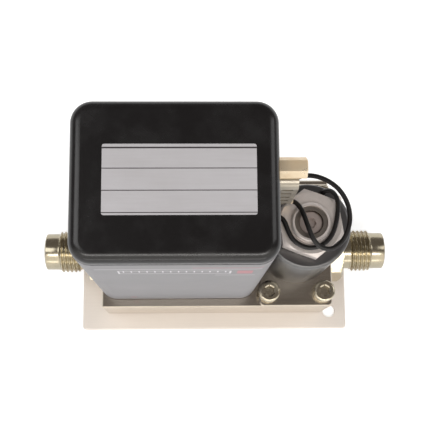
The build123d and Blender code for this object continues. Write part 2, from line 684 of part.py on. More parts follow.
adjuster_base = Plane(origin=(VALVE_X, 0, STEM_TOP - ADJUSTER_DEPTH), z_dir=(0, 0, 1))
with BuildPart() as stem_adjuster:
    with BuildSketch(adjuster_base):
        Circle(ADJUSTER_DIAMETER / 2 - FIT)
    extrude(amount=ADJUSTER_HEIGHT)
    chamfer(stem_adjuster.edges().sort_by(Axis.Z)[-1], 0.3)
    with BuildSketch(adjuster_base.offset(ADJUSTER_HEIGHT)):
        RegularPolygon(ADJUSTER_KEY / 2, 6, major_radius=False)
    extrude(amount=-ADJUSTER_HEIGHT * 0.7, mode=Mode.SUBTRACT)
save(stem_adjuster, "stem_adjuster")

seat_pocket = SEAT_Z + SEAT_THICKNESS
spring_floor = PLUNGER_TOP - SPRING_LENGTH + PLUNGER_TRAVEL + FIT
with BuildPart() as valve_plunger:
    with BuildSketch(VALVE_PLANE):
        with BuildLine():
            Polyline((0, seat_pocket), (SEAT_DIAMETER / 2, seat_pocket), (SEAT_DIAMETER / 2, SEAT_Z + 0.4),
                     (PLUNGER_DIAMETER / 2 - 0.5, SEAT_Z + 0.4), (PLUNGER_DIAMETER / 2, SEAT_Z + 0.9),
                     (PLUNGER_DIAMETER / 2, PLUNGER_TOP - 0.3), (PLUNGER_DIAMETER / 2 - 0.3, PLUNGER_TOP),
                     (SPRING_DIAMETER / 2 + 0.4, PLUNGER_TOP), (SPRING_DIAMETER / 2 + 0.4, spring_floor),
                     (0, spring_floor), close=True)
        make_face()
    revolve(axis=Axis((VALVE_X, 0, 0), (0, 0, 1)))
save(valve_plunger, "valve_plunger")

save(turned(VALVE_PLANE, (0, SEAT_Z), (SEAT_DIAMETER / 2 - 0.2, SEAT_Z), (SEAT_DIAMETER / 2, SEAT_Z + 0.2),
            (SEAT_DIAMETER / 2, seat_pocket), (0, seat_pocket)), "plunger_seat")

spring_rise = SPRING_LENGTH - SPRING_WIRE
with BuildPart() as plunger_spring:
    with BuildLine() as coil_line:
        Helix(pitch=spring_rise / SPRING_TURNS, height=spring_rise,
              radius=SPRING_DIAMETER / 2 - SPRING_WIRE / 2,
              center=(VALVE_X, 0, spring_floor + SPRING_WIRE / 2))
    with BuildSketch(Plane(origin=coil_line.line @ 0, z_dir=coil_line.line % 0)):
        RegularPolygon(SPRING_WIRE / 2, 6)
    sweep(path=coil_line.line, is_frenet=True)
save(plunger_spring, "plunger_spring")

# Retainer and its screws

with BuildPart() as valve_retainer:
    with BuildSketch(body_top_plane):
        with Locations((VALVE_X, 0)):
            RectangleRounded(RETAINER_LENGTH, -BODY_FRONT * 2, RETAINER_CORNER)
            Circle(STEM_DIAMETER / 2 + FIT, mode=Mode.SUBTRACT)
        with Locations(*retainer_screw_places):
            Circle(M4 / 2 + SLIP, mode=Mode.SUBTRACT)
    extrude(amount=RETAINER_THICKNESS)
    chamfer(valve_retainer.edges().group_by(Axis.Z)[-1].filter_by(GeomType.LINE), 0.3)
save(valve_retainer, "valve_retainer")
save(group([socket_screw(Plane(origin=(x, y, RETAINER_TOP), z_dir=(0, 0, 1)), M4, M4_HEAD, M4_HEAD_HEIGHT,
                         M4_LENGTH + RETAINER_THICKNESS - FIT, M4_KEY) for x, y in retainer_screw_places]),
     "retainer_screws")

# Solenoid coil: housing cup, base ring, bobbin and winding

coil_inner = COIL_DIAMETER / 2 - COIL_WALL
with BuildPart() as coil_housing:
    with BuildSketch(Plane.XY.offset(RETAINER_TOP)):
        with Locations((VALVE_X, 0)):
            Circle(COIL_DIAMETER / 2)
    extrude(amount=COIL_HEIGHT)
    fillet(coil_housing.edges().sort_by(Axis.Z)[-1], COIL_RIM)
    with BuildSketch(Plane.XY.offset(RETAINER_TOP)):
        with Locations((VALVE_X, 0)):
            Circle(coil_inner)
    extrude(amount=COIL_HEIGHT - COIL_TOP, mode=Mode.SUBTRACT)
    with BuildSketch(Plane.XY.offset(COIL_TOP_Z)):
        with Locations((VALVE_X, 0)):
            Circle(STEM_DIAMETER / 2 + FIT)
            with Locations(*[around(angle, LEAD_HOLE_RADIUS) for angle in LEAD_HOLE_ANGLES]):
                Circle(LEAD_HOLE / 2)
    extrude(amount=-COIL_TOP, mode=Mode.SUBTRACT)
save(coil_housing, "coil_housing")

with BuildPart() as coil_base_ring:
    with BuildSketch(Plane.XY.offset(RETAINER_TOP)):
        with Locations((VALVE_X, 0)):
            Circle(coil_inner - FIT)
            Circle(STEM_DIAMETER / 2 + FIT, mode=Mode.SUBTRACT)
    extrude(amount=COIL_BASE)
save(coil_base_ring, "coil_base_ring")

bobbin_bottom = RETAINER_TOP + COIL_BASE
bobbin_top = COIL_TOP_Z - COIL_TOP
bobbin_tube = STEM_DIAMETER / 2 + FIT + BOBBIN_WALL
winding_outer = coil_inner - WINDING_MARGIN
save(turned(VALVE_PLANE, (STEM_DIAMETER / 2 + FIT, bobbin_bottom), (winding_outer, bobbin_bottom),
            (winding_outer, bobbin_bottom + BOBBIN_FLANGE), (bobbin_tube, bobbin_bottom + BOBBIN_FLANGE),
            (bobbin_tube, bobbin_top - BOBBIN_FLANGE), (winding_outer, bobbin_top - BOBBIN_FLANGE),
            (winding_outer, bobbin_top), (STEM_DIAMETER / 2 + FIT, bobbin_top)), "coil_bobbin")
save(turned(VALVE_PLANE, (bobbin_tube, bobbin_bottom + BOBBIN_FLANGE),
            (winding_outer - 0.4, bobbin_bottom + BOBBIN_FLANGE),
            (winding_outer - 0.4, bobbin_top - BOBBIN_FLANGE),
            (bobbin_tube, bobbin_top - BOBBIN_FLANGE)), "coil_winding")

save(turned(VALVE_PLANE, (STEM_DIAMETER / 2 + FIT, COIL_TOP_Z), (WASHER_DIAMETER / 2, COIL_TOP_Z),
            (WASHER_DIAMETER / 2, NUT_Z), (STEM_DIAMETER / 2 + FIT, NUT_Z)), "coil_washer")

nut_base = Plane(origin=(VALVE_X, 0, NUT_Z), x_dir=(1, 0, 0), z_dir=(0, 0, 1))
nut_body = hexagon(nut_base, NUT_HEX, NUT_HEIGHT, NUT_TURN)
with BuildPart() as coil_nut:
    add(nut_body.part)
    with BuildSketch(nut_base.offset(NUT_HEIGHT)):
        Circle(NUT_COLLAR / 2)
    extrude(amount=NUT_COLLAR_HEIGHT)
    chamfer(coil_nut.edges().sort_by(Axis.Z)[-1], 0.4)
    with BuildSketch(nut_base):
        Circle(STEM_DIAMETER / 2 + FIT / 2)
    extrude(amount=NUT_HEIGHT + NUT_COLLAR_HEIGHT, mode=Mode.SUBTRACT)
save(coil_nut, "coil_nut")

# Cover can


def connector_outline(grow):
    """The D outline of the connector, long side towards the front, inside an open sketch."""
    half = SHELL_LENGTH / 2 + grow
    depth = SHELL_WIDTH / 2 + grow
    taper = 2 * depth * tan(radians(SHELL_SLANT))
    outline = Polygon((-depth, -half), (-depth, half), (depth, half - taper), (depth, taper - half),
                      align=None)
    fillet(outline.vertices(), SHELL_CORNER + grow)


wall_plane = Plane(origin=(CAN_RIGHT, CONNECTOR_Y, CONNECTOR_Z), x_dir=(0, 1, 0), z_dir=(1, 0, 0))
jack_places = [(0, -JACK_SPACING / 2), (0, JACK_SPACING / 2)]
plug_y = BOARD_FRONT - POT[2] / 2
can_screw_z = BODY_TOP + ANGLE_SCREW_HEIGHT

with BuildPart() as cover_can:
    with BuildSketch(body_top_plane):
        with Locations((CAN_X, CAN_Y)):
            RectangleRounded(CAN_LENGTH, CAN_DEPTH, CAN_CORNER)
    extrude(amount=CAN_HEIGHT)
    fillet(cover_can.edges().group_by(Axis.Z)[-1], CAN_TOP_EDGE)
    offset(amount=-CAN_WALL, openings=cover_can.faces().sort_by(Axis.Z)[0])
    # Connector window, its jackscrew holes and the grommet hole
    with BuildSketch(wall_plane):
        connector_outline(WALL_CLEARANCE)
    extrude(amount=-CAN_WALL, mode=Mode.SUBTRACT)
    with BuildSketch(wall_plane):
        with Locations(*jack_places):
            Circle(JACK_THREAD / 2 + SLIP)
        with Locations((GROMMET_Y - CONNECTOR_Y, GROMMET_Z - CONNECTOR_Z)):
            Circle(GROMMET_HOLE / 2)
    extrude(amount=-CAN_WALL, mode=Mode.SUBTRACT)
    # Adjuster access holes in the left wall
    with BuildSketch(Plane.YZ.offset(CAN_LEFT)):
        with Locations(*[(plug_y, BODY_TOP + height) for height in POT_HEIGHTS]):
            Circle(PLUG_HOLE / 2)
    extrude(amount=CAN_WALL, mode=Mode.SUBTRACT)
    # Screw holes in the back wall
    with BuildSketch(Plane.XZ.offset(-CAN_BACK)):
        with Locations(*[(x, can_screw_z) for x in ANGLE_SCREW_X]):
            Circle(M3 / 2 + SLIP)
    extrude(amount=CAN_WALL, mode=Mode.SUBTRACT)
save(cover_can, "cover_can")

save(group([pan_screw(Plane(origin=(x, CAN_BACK, can_screw_z), x_dir=(1, 0, 0), z_dir=(0, 1, 0)), M3, M3_HEAD,
                      M3_HEAD_HEIGHT, CAN_WALL + CAN_SCREW_REACH) for x in ANGLE_SCREW_X]), "can_screws")

plug_section = ((0, PLUG_FLANGE_HEIGHT), (PLUG_FLANGE / 2 - 0.5, PLUG_FLANGE_HEIGHT), (PLUG_FLANGE / 2, 0.4),
                (PLUG_FLANGE / 2, 0), (PLUG_HOLE / 2, 0), (PLUG_HOLE / 2, -CAN_WALL),
                (PLUG_HOLE / 2 + 0.3, -CAN_WALL),
                (PLUG_HOLE / 2 - 0.4, -CAN_WALL - PLUG_GRIP), (0, -CAN_WALL - PLUG_GRIP))
plug_planes = [Plane(origin=(CAN_LEFT, plug_y, BODY_TOP + height), x_dir=(0, 0, 1), z_dir=(0, -1, 0))
               for height in POT_HEIGHTS]
save(group([turned(plane, *plug_section) for plane in plug_planes]), "access_plugs")

# Labels

with BuildPart() as top_label:
    with BuildSketch(Plane.XY.offset(CAN_TOP)):
        with Locations((CAN_X + TOP_LABEL_SHIFT, CAN_Y)):
            RectangleRounded(TOP_LABEL[0], TOP_LABEL[1], TOP_LABEL_CORNER)
    extrude(amount=LABEL_FILM)
save(top_label, "top_label")

with BuildPart() as wrap_label:
    with BuildSketch(Plane.XY.offset(BODY_TOP + WRAP_BOTTOM_GAP)):
        with Locations((CAN_X, CAN_Y)):
            RectangleRounded(CAN_LENGTH + 2 * LABEL_FILM, CAN_DEPTH + 2 * LABEL_FILM, CAN_CORNER + LABEL_FILM)
            RectangleRounded(CAN_LENGTH, CAN_DEPTH, CAN_CORNER, mode=Mode.SUBTRACT)
        with Locations((CAN_X, CAN_FRONT + WRAP_REACH)):
            Rectangle(CAN_LENGTH * 2, CAN_DEPTH * 2, align=(Align.CENTER, Align.MIN), mode=Mode.SUBTRACT)
    extrude(amount=CAN_HEIGHT - WRAP_BOTTOM_GAP - WRAP_TOP_GAP)
save(wrap_label, "wrap_label")

# Circuit board on its angle

with BuildPart() as board_angle:
    with BuildSketch(Plane.YZ.offset(BOARD_LEFT)):
        with BuildLine():
            Polyline((ANGLE_FRONT + ANGLE_SHEET - ANGLE_FOOT, BODY_TOP),
                     (ANGLE_FRONT + ANGLE_SHEET, BODY_TOP),
                     (ANGLE_FRONT + ANGLE_SHEET, BODY_TOP + ANGLE_HEIGHT),
                     (ANGLE_FRONT, BODY_TOP + ANGLE_HEIGHT),
                     (ANGLE_FRONT, BODY_TOP + ANGLE_SHEET),
                     (ANGLE_FRONT + ANGLE_SHEET - ANGLE_FOOT, BODY_TOP + ANGLE_SHEET), close=True)
        make_face()
    extrude(amount=BOARD_RIGHT - BOARD_LEFT)
    outer_bend = board_angle.edges().filter_by(Axis.X).group_by(Axis.Z)[0].sort_by(Axis.Y)[-1]
    fillet(outer_bend, ANGLE_BEND)
    with BuildSketch(Plane.XY.offset(BODY_TOP + ANGLE_SHEET)):
        with Locations(*[(x, angle_screw_y) for x in ANGLE_SCREW_X]):
            Circle(M3 / 2 + SLIP)
    extrude(amount=-ANGLE_SHEET, mode=Mode.SUBTRACT)
    with BuildSketch(Plane.XZ.offset(-ANGLE_FRONT - ANGLE_SHEET)):
        with Locations(*[(x, can_screw_z) for x in ANGLE_SCREW_X]):
            Circle(SPACER_DIAMETER / 2)
    extrude(amount=ANGLE_FRONT + ANGLE_SHEET - CAN_BACK + CAN_WALL)
    with BuildSketch(Plane.XZ.offset(-ANGLE_FRONT)):
        with Locations(*[(x, can_screw_z) for x in ANGLE_SCREW_X]):
            Circle(M3 / 2)
    extrude(amount=ANGLE_FRONT - CAN_BACK, mode=Mode.SUBTRACT)
save(board_angle, "board_angle")
save(group([pan_screw(Plane(origin=(x, angle_screw_y, BODY_TOP + ANGLE_SHEET), z_dir=(0, 0, 1)), M3, M3_HEAD,
                      M3_HEAD_HEIGHT, M3_LENGTH) for x in ANGLE_SCREW_X]), "angle_screws")

board_screw_z = BODY_TOP + ANGLE_HEIGHT - 4.0
with BuildPart() as circuit_board:
    with BuildSketch(Plane.XZ.offset(-BOARD_BACK)):
        with Locations(((BOARD_LEFT + BOARD_RIGHT) / 2, BOARD_Z + BOARD_HEIGHT / 2)):
            Rectangle(BOARD_RIGHT - BOARD_LEFT, BOARD_HEIGHT)
        with Locations(*[(x, board_screw_z) for x in ANGLE_SCREW_X]):
            Circle(M3 / 2 + SLIP, mode=Mode.SUBTRACT)
    extrude(amount=BOARD_THICKNESS)
save(circuit_board, "circuit_board")
with BuildPart() as board_spacers:
    with BuildSketch(Plane.XZ.offset(-ANGLE_FRONT)):
        with Locations(*[(x, board_screw_z) for x in ANGLE_SCREW_X]):
            Circle(SPACER_DIAMETER / 2)
            Circle(M3 / 2 + SLIP, mode=Mode.SUBTRACT)
    extrude(amount=SPACER_LENGTH)
save(board_spacers, "board_spacers")
save(group([pan_screw(Plane(origin=(x, BOARD_FRONT, board_screw_z), x_dir=(1, 0, 0), z_dir=(0, -1, 0)), M3,
                      M3_HEAD, M3_HEAD_HEIGHT, BOARD_THICKNESS + SPACER_LENGTH) for x in ANGLE_SCREW_X]),
     "board_screws")

# Board components

board_face = Plane(origin=(0, BOARD_FRONT, BODY_TOP), x_dir=(1, 0, 0), z_dir=(0, -1, 0))

with BuildPart() as capacitors:
    with BuildSketch(board_face):
        with Locations(*CAPACITOR_AT):
            Circle(CAPACITOR_DIAMETER / 2)
    extrude(amount=CAPACITOR_LENGTH)
    fillet(capacitors.edges().group_by(Axis.Y)[0], 0.6)
save(capacitors, "capacitors")

chip_leg_places = [(x + side * (CHIP[0] / 2 + 0.6), z + (leg - (CHIP_LEGS - 1) / 2) * CHIP_PITCH)
                   for x, z in CHIP_AT for side in (-1, 1) for leg in range(CHIP_LEGS)]
with BuildPart() as chips:
    with BuildSketch(board_face.offset(0.4)):
        with Locations(*CHIP_AT):
            Rectangle(CHIP[0], CHIP[1])
    extrude(amount=CHIP[2])
    with BuildSketch(board_face):
        with Locations(*chip_leg_places):
            Rectangle(1.2, 0.5)
    extrude(amount=CHIP[2] / 2)
save(chips, "chips")

resistor_places = [(RESISTOR_X, RESISTOR_HEIGHT + i * RESISTOR_PITCH) for i in range(RESISTOR_COUNT)]
with BuildPart() as resistors:
    for x, z in resistor_places:
        start = Plane(origin=(x - RESISTOR_LENGTH / 2, BOARD_FRONT - RESISTOR_DIAMETER / 2, BODY_TOP + z),
                      z_dir=(1, 0, 0))
        with BuildSketch(start):
            Circle(RESISTOR_DIAMETER / 2)
        extrude(amount=RESISTOR_LENGTH)
        with BuildSketch(start.offset(-1.0)):
            Circle(RESISTOR_LEG / 2)
        extrude(amount=RESISTOR_LENGTH + 2.0)
        for side in (-1, 1):
            leg_x = x + side * (RESISTOR_LENGTH / 2 + 1.0 - RESISTOR_LEG / 2)
            with BuildSketch(board_face):
                with Locations((leg_x, z)):
                    Circle(RESISTOR_LEG / 2)
            extrude(amount=RESISTOR_DIAMETER / 2 + RESISTOR_LEG / 2)
save(resistors, "resistors")

with BuildPart() as trim_pots:
    with BuildSketch(board_face):
        with Locations(*[(POT_LEFT + POT[0] / 2, height) for height in POT_HEIGHTS]):
            Rectangle(POT[0], POT[1])
    extrude(amount=POT[2])
save(trim_pots, "trim_pots")
with BuildPart() as trim_screws:
    for height in POT_HEIGHTS:
        face = Plane(origin=(POT_LEFT, plug_y, BODY_TOP + height), x_dir=(0, 1, 0), z_dir=(-1, 0, 0))
        with BuildSketch(face):
            Circle(POT_SCREW / 2)
        extrude(amount=POT_SCREW_LENGTH)
        with BuildSketch(face.offset(POT_SCREW_LENGTH)):
            Rectangle(POT_SCREW * 1.2, 0.5)
        extrude(amount=-0.7, mode=Mode.SUBTRACT)
save(trim_screws, "trim_screws")

with BuildPart() as sensor_header:
    with BuildSketch(board_face):
        with Locations(HEADER_AT):
            RectangleRounded(HEADER[0], HEADER[1], 0.5)
    extrude(amount=HEADER[2])
save(sensor_header, "sensor_header")

# Flexible strip from the sensor cover up to its header
flex_top_z = SENSOR_TOP + SENSOR_COVER[2]
header_front = BOARD_FRONT - HEADER[2]
with BuildPart() as sensor_flex:
    with BuildLine() as flex_path:
        FilletPolyline((HEADER_AT[0], 0, flex_top_z), (HEADER_AT[0], 0, BODY_TOP + HEADER_AT[1]),
                       (HEADER_AT[0], header_front, BODY_TOP + HEADER_AT[1]), radius=3.0)
    with BuildSketch(Plane(origin=flex_path.line @ 0, x_dir=(1, 0, 0), z_dir=flex_path.line % 0)):
        Rectangle(FLEX[0], FLEX[1])
    sweep(path=flex_path.line)
save(sensor_flex, "sensor_flex")

# Connector: drawn shell with its flange, insulator and pins

flange_plane = wall_plane.offset(-CAN_WALL)
flange_back = flange_plane.offset(-CONNECTOR_FLANGE[2])
with BuildPart() as connector_shell:
    with BuildSketch(flange_back):
        RectangleRounded(CONNECTOR_FLANGE[1], CONNECTOR_FLANGE[0], 1.5)
    extrude(amount=CONNECTOR_FLANGE[2])
    with BuildSketch(flange_back):
        connector_outline(0)
    extrude(amount=CONNECTOR_FLANGE[2] + CAN_WALL + SHELL_PROTRUSION)
    with BuildSketch(flange_back):
        connector_outline(-SHELL_WALL)
    extrude(amount=CONNECTOR_FLANGE[2] + CAN_WALL + SHELL_PROTRUSION, mode=Mode.SUBTRACT)
    with BuildSketch(flange_back):
        with Locations(*jack_places):
            Circle(JACK_THREAD / 2 + SLIP)
    extrude(amount=CONNECTOR_FLANGE[2], mode=Mode.SUBTRACT)
    # Grip dimples along the long side
    front_side = Plane(origin=(CAN_RIGHT, CONNECTOR_Y - SHELL_WIDTH / 2, CONNECTOR_Z), x_dir=(1, 0, 0),
                       z_dir=(0, -1, 0))
    with BuildSketch(front_side):
        with GridLocations(1, SHELL_LENGTH * 0.72 / (SHELL_DIMPLES - 1), 1, SHELL_DIMPLES):
            with Locations((SHELL_PROTRUSION * 0.55, 0)):
                SlotOverall(3.0, 1.3)
    extrude(amount=-SHELL_WALL * 0.5, mode=Mode.SUBTRACT)
save(connector_shell, "connector_shell")

insulator_back = flange_back.offset(-INSULATOR_DEPTH)
insulator_front = CONNECTOR_FLANGE[2] + CAN_WALL + 0.6
pin_places = [(-PIN_ROW_GAP / 2, (i - 3.5) * PIN_PITCH) for i in range(8)]
pin_places += [(PIN_ROW_GAP / 2, (i - 3.0) * PIN_PITCH) for i in range(7)]
with BuildPart() as connector_insulator:
    with BuildSketch(flange_back):
        connector_outline(-SHELL_WALL)
    extrude(amount=insulator_front)
    with BuildSketch(insulator_back):
        RectangleRounded(CONNECTOR_FLANGE[1] - 2.0, SHELL_LENGTH + 0.6, 1.0)
    extrude(amount=INSULATOR_DEPTH)
    with BuildSketch(insulator_back):
        with Locations(*pin_places):
            Circle(PIN_DIAMETER / 2)
    extrude(amount=INSULATOR_DEPTH + insulator_front, mode=Mode.SUBTRACT)
save(connector_insulator, "connector_insulator")

insulator_x = CAN_RIGHT - CAN_WALL - CONNECTOR_FLANGE[2] - INSULATOR_DEPTH
with BuildPart() as connector_pins:
    for offset_y, offset_z in pin_places:
        reach = PIN_TAIL_REACH[0] if offset_y > 0 else PIN_TAIL_REACH[1]
        pin_y = CONNECTOR_Y + offset_y
        pin_z = CONNECTOR_Z + offset_z
        with BuildSketch(Plane(origin=(insulator_x, pin_y, pin_z), z_dir=(1, 0, 0))):
            Circle(PIN_DIAMETER / 2)
        extrude(amount=INSULATOR_DEPTH + insulator_front + PIN_LENGTH - 0.6)
        with BuildSketch(Plane(origin=(insulator_x - reach, pin_y, pin_z), z_dir=(1, 0, 0))):
            Rectangle(PIN_TAIL, PIN_TAIL)
        extrude(amount=reach)
        with BuildSketch(Plane(origin=(insulator_x - reach + PIN_TAIL / 2, pin_y - PIN_TAIL / 2, pin_z),
                               z_dir=(0, 1, 0))):
            Rectangle(PIN_TAIL, PIN_TAIL)
        extrude(amount=BOARD_FRONT - pin_y + PIN_TAIL / 2)
save(connector_pins, "connector_pins")

# Jackscrews and the nuts behind the flange

with BuildPart() as jack_hexes:
    with BuildSketch(wall_plane):
        with Locations(*jack_places):
            RegularPolygon(JACK_HEX / 2, 6, major_radius=False)
    extrude(amount=JACK_PROTRUSION)
    chamfer(jack_hexes.edges().group_by(Axis.X)[-1], 0.25)
    with BuildSketch(wall_plane):
        with Locations(*jack_places):
            Circle(JACK_THREAD / 2)
    extrude(amount=-CAN_WALL - CONNECTOR_FLANGE[2] - JACK_SHANK)
    with BuildSketch(wall_plane.offset(JACK_PROTRUSION)):
        with Locations(*jack_places):
            Circle(JACK_THREAD / 2)
    extrude(amount=-JACK_BORE_DEPTH, mode=Mode.SUBTRACT)
save(jack_hexes, "jackscrews")
with BuildPart() as jack_nuts:
    with BuildSketch(flange_back):
        with Locations(*jack_places):
            RegularPolygon(JACK_HEX / 2, 6, major_radius=False)
            Circle(JACK_THREAD / 2, mode=Mode.SUBTRACT)
    extrude(amount=-JACK_NUT_HEIGHT)
save(jack_nuts, "jack_nuts")

# Coil leads: grommet in the can wall, the free run over the coil, and the tails inside the can

grommet_plane = Plane(origin=(CAN_RIGHT, GROMMET_Y, GROMMET_Z), x_dir=(0, 1, 0), z_dir=(1, 0, 0))
lead_offsets = [(-LEAD_SPACING / 2, 0), (LEAD_SPACING / 2, 0)]
with BuildPart() as lead_grommet:
    with BuildSketch(grommet_plane):
        Circle(GROMMET_FLANGE / 2)
    extrude(amount=GROMMET_LIP)
    with BuildSketch(grommet_plane):
        Circle(GROMMET_HOLE / 2)
    extrude(amount=-CAN_WALL)
    with BuildSketch(grommet_plane.offset(-CAN_WALL)):
        Circle(GROMMET_FLANGE / 2)
    extrude(amount=-GROMMET_LIP)
    fillet(lead_grommet.edges().group_by(Axis.X)[-1], 0.35)
    with BuildSketch(grommet_plane.offset(GROMMET_LIP)):
        with Locations(*lead_offsets):
            Circle(LEAD_DIAMETER / 2)
    extrude(amount=-CAN_WALL - 2 * GROMMET_LIP, mode=Mode.SUBTRACT)
save(lead_grommet, "lead_grommet")

lead_start_x = CAN_RIGHT + GROMMET_LIP
front_lead_y, back_lead_y = [GROMMET_Y + offset[0] for offset in lead_offsets]
front_end, back_end = [around(angle, LEAD_HOLE_RADIUS) for angle in LEAD_HOLE_ANGLES]


def lead_route(start_y, path, end):
    """A lead's points from the grommet, past its path, to its hole in the coil's top."""
    middle = [(VALVE_X + x, y, COIL_TOP_Z + z) for x, y, z in path]
    return [(lead_start_x, start_y, GROMMET_Z), *middle, (VALVE_X + end[0], end[1], COIL_TOP_Z)]


front_route = lead_route(front_lead_y, FRONT_LEAD_PATH, front_end)
back_route = lead_route(back_lead_y, BACK_LEAD_PATH, back_end)

for route, name in ((front_route, "coil_lead_front"), (back_route, "coil_lead_back")):
    bends = route_radii(route)
    lead = round_tube(route, bends, LEAD_DIAMETER)
    print(name, "bend radii", [round(bend, 1) for bend in bends])
    save(lead, name)

tail_x = WALL_INSIDE - GROMMET_LIP
with BuildPart() as lead_tails:
    for lead_y, inset in zip((front_lead_y, back_lead_y), LEAD_PAD_INSETS):
        pad_x = BOARD_RIGHT - inset
        with BuildLine() as tail_path:
            FilletPolyline((tail_x, lead_y, GROMMET_Z), (pad_x, lead_y, GROMMET_Z),
                           (pad_x, BOARD_FRONT, GROMMET_Z), radius=3.0)
        with BuildSketch(Plane(origin=tail_path.line @ 0, z_dir=tail_path.line % 0)):
            Circle(LEAD_DIAMETER / 2)
        sweep(path=tail_path.line)
save(lead_tails, "lead_tails")
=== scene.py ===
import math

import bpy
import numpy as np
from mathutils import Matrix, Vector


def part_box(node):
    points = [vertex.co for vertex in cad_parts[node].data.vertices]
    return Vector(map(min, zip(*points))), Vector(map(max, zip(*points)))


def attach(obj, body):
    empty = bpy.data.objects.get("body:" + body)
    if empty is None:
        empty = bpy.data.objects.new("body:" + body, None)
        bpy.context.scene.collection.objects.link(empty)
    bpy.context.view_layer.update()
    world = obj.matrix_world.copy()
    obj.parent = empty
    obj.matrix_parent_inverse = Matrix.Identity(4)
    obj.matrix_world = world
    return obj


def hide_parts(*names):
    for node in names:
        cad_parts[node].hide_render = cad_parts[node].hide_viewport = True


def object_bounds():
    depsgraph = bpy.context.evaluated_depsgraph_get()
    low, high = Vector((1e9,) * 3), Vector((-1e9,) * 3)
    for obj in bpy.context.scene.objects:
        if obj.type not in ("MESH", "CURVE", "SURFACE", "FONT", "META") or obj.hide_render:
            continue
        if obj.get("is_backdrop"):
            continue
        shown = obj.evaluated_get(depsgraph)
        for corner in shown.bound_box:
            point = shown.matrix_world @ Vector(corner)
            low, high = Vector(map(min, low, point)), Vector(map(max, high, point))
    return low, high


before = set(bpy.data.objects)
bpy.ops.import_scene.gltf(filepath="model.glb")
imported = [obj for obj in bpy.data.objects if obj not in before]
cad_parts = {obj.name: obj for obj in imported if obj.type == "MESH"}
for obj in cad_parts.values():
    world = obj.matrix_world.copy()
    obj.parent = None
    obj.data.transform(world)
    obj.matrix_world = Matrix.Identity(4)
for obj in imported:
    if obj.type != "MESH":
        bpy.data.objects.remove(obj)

# %% [markdown]
# # A thermal mass flow controller
# The frame above holds every solid of the instrument, in metres, with the flow along X, the front at -Y and
# the underside of the mounting plate at Z = 0. This lesson dresses it: a camera, two soft lead wires, turned
# and threaded ports, and a finish for every piece. The box of the bare solids is kept, to print at the end.

scene = bpy.context.scene
scene.view_settings.view_transform = "Standard"
solid_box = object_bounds()
print("solids reach", [round(side * 1000, 1) for side in solid_box[1] - solid_box[0]], "mm")

# %% [markdown]
# ## Camera
# The instrument is looked at from nearly straight above, tipped a little to the front, as it lies in the hand.
# A camera's matrix could be built from angles, but from above those turn into each other. Its own right and up
# directions say the same without that doubt, so they fill the matrix's columns.

# %% Camera
LENS, SENSOR_WIDTH = 79.11, 36.0
EYE = Vector((-0.0097777, -0.0466644, 0.3407897))
RIGHT = Vector((0.99956198, -0.00802483, 0.02848606))
UP = Vector((0.0027862, 0.98377696, 0.17937425))
BACK = Vector((-0.02946338, -0.17921631, 0.98336841))
camera_data = bpy.data.cameras.new("camera")
camera_data.lens, camera_data.sensor_width = LENS, SENSOR_WIDTH
camera_data.clip_start, camera_data.clip_end = 0.01, 20.0
camera = bpy.data.objects.new("camera", camera_data)
scene.collection.objects.link(camera)
camera.matrix_world = Matrix.Translation(EYE) @ Matrix((RIGHT, UP, BACK)).transposed().to_4x4()
scene.camera = camera
cover_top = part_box("cover_can")[1].z
print("camera is", round((EYE - Vector((0, 0, cover_top))).length * 1000), "mm from the top of the cover")

# %% [markdown]
# ## Lead wires
# Two thin insulated wires come out of the cover's side, pass over the nut and drop into the coil. Each could
# be a swept mesh, but a NURBS curve is what a limp wire is: one smooth line that leans towards its control
# points. The order and the end rule are set after the points, so that the line is a curve and not straight
# runs. The wire's own radius is written on its points, in metres, and the bevel's depth is one, so that the
# curve's bounds are as thin as the wire.

# %% Lead wires
LEAD_DIAMETER = 0.0014
FRONT_ROUTE = ((13.9, 1.1, 71.5), (15.4, 1.4, 72.2), (17.2, 1.6, 72.6), (18.4, 0.2, 72.7), (19.2, -2.4, 72.7),
               (20.6, -5.2, 72.6), (23.3, -7.1, 72.6), (26.2, -7.6, 72.6), (29.3, -6.7, 72.6),
               (31.8, -4.3, 72.6), (33.2, -0.8, 72.6), (33.9, 3.0, 72.7), (34.0, 6.6, 72.9), (32.9, 9.5, 71.0),
               (31.0, 10.4, 68.5), (30.452, 9.775, 65.9))
BACK_ROUTE = ((13.9, 3.3, 71.5), (15.8, 4.2, 72.0), (18.0, 5.8, 72.6), (20.9, 6.3, 73.5), (22.7, 4.2, 74.8),
              (23.9, 1.0, 75.5), (25.0, -2.6, 75.8), (26.3, -5.9, 75.6), (28.4, -7.8, 75.0),
              (31.2, -8.3, 74.8), (34.0, -6.8, 75.0), (36.0, -3.6, 75.3), (37.0, 0.4, 75.8), (36.3, 5.2, 76.2),
              (33.4, 9.8, 76.4), (28.4, 12.9, 75.8), (23.6, 13.6, 74.4), (20.4, 12.2, 72.0), (19.3, 9.8, 69.2),
              (19.366, 8.316, 65.9))


def lead_wire(name, route, solid):
    """A limp wire on a route of control points in millimetres, standing for one solid."""
    curve = bpy.data.curves.new(name, "CURVE")
    curve.dimensions = "3D"
    spline = curve.splines.new("NURBS")
    spline.points.add(len(route) - 1)
    points = np.column_stack([np.array(route) / 1000, np.ones(len(route))])
    spline.points.foreach_set("co", points.ravel())
    spline.points.foreach_set("radius", np.full(len(route), LEAD_DIAMETER / 2))
    spline.order_u = 3
    spline.use_endpoint_u = True
    spline.resolution_u = 10
    curve.bevel_depth = 1.0
    curve.bevel_resolution = 5
    curve.use_fill_caps = True
    wire = bpy.data.objects.new(name, curve)
    scene.collection.objects.link(wire)
    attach(wire, "controller")
    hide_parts(solid)
    return wire


front_lead = lead_wire("front_lead", FRONT_ROUTE, "coil_lead_front")
back_lead = lead_wire("back_lead", BACK_ROUTE, "coil_lead_back")
print("two leads with", len(FRONT_ROUTE), "and", len(BACK_ROUTE), "control points")

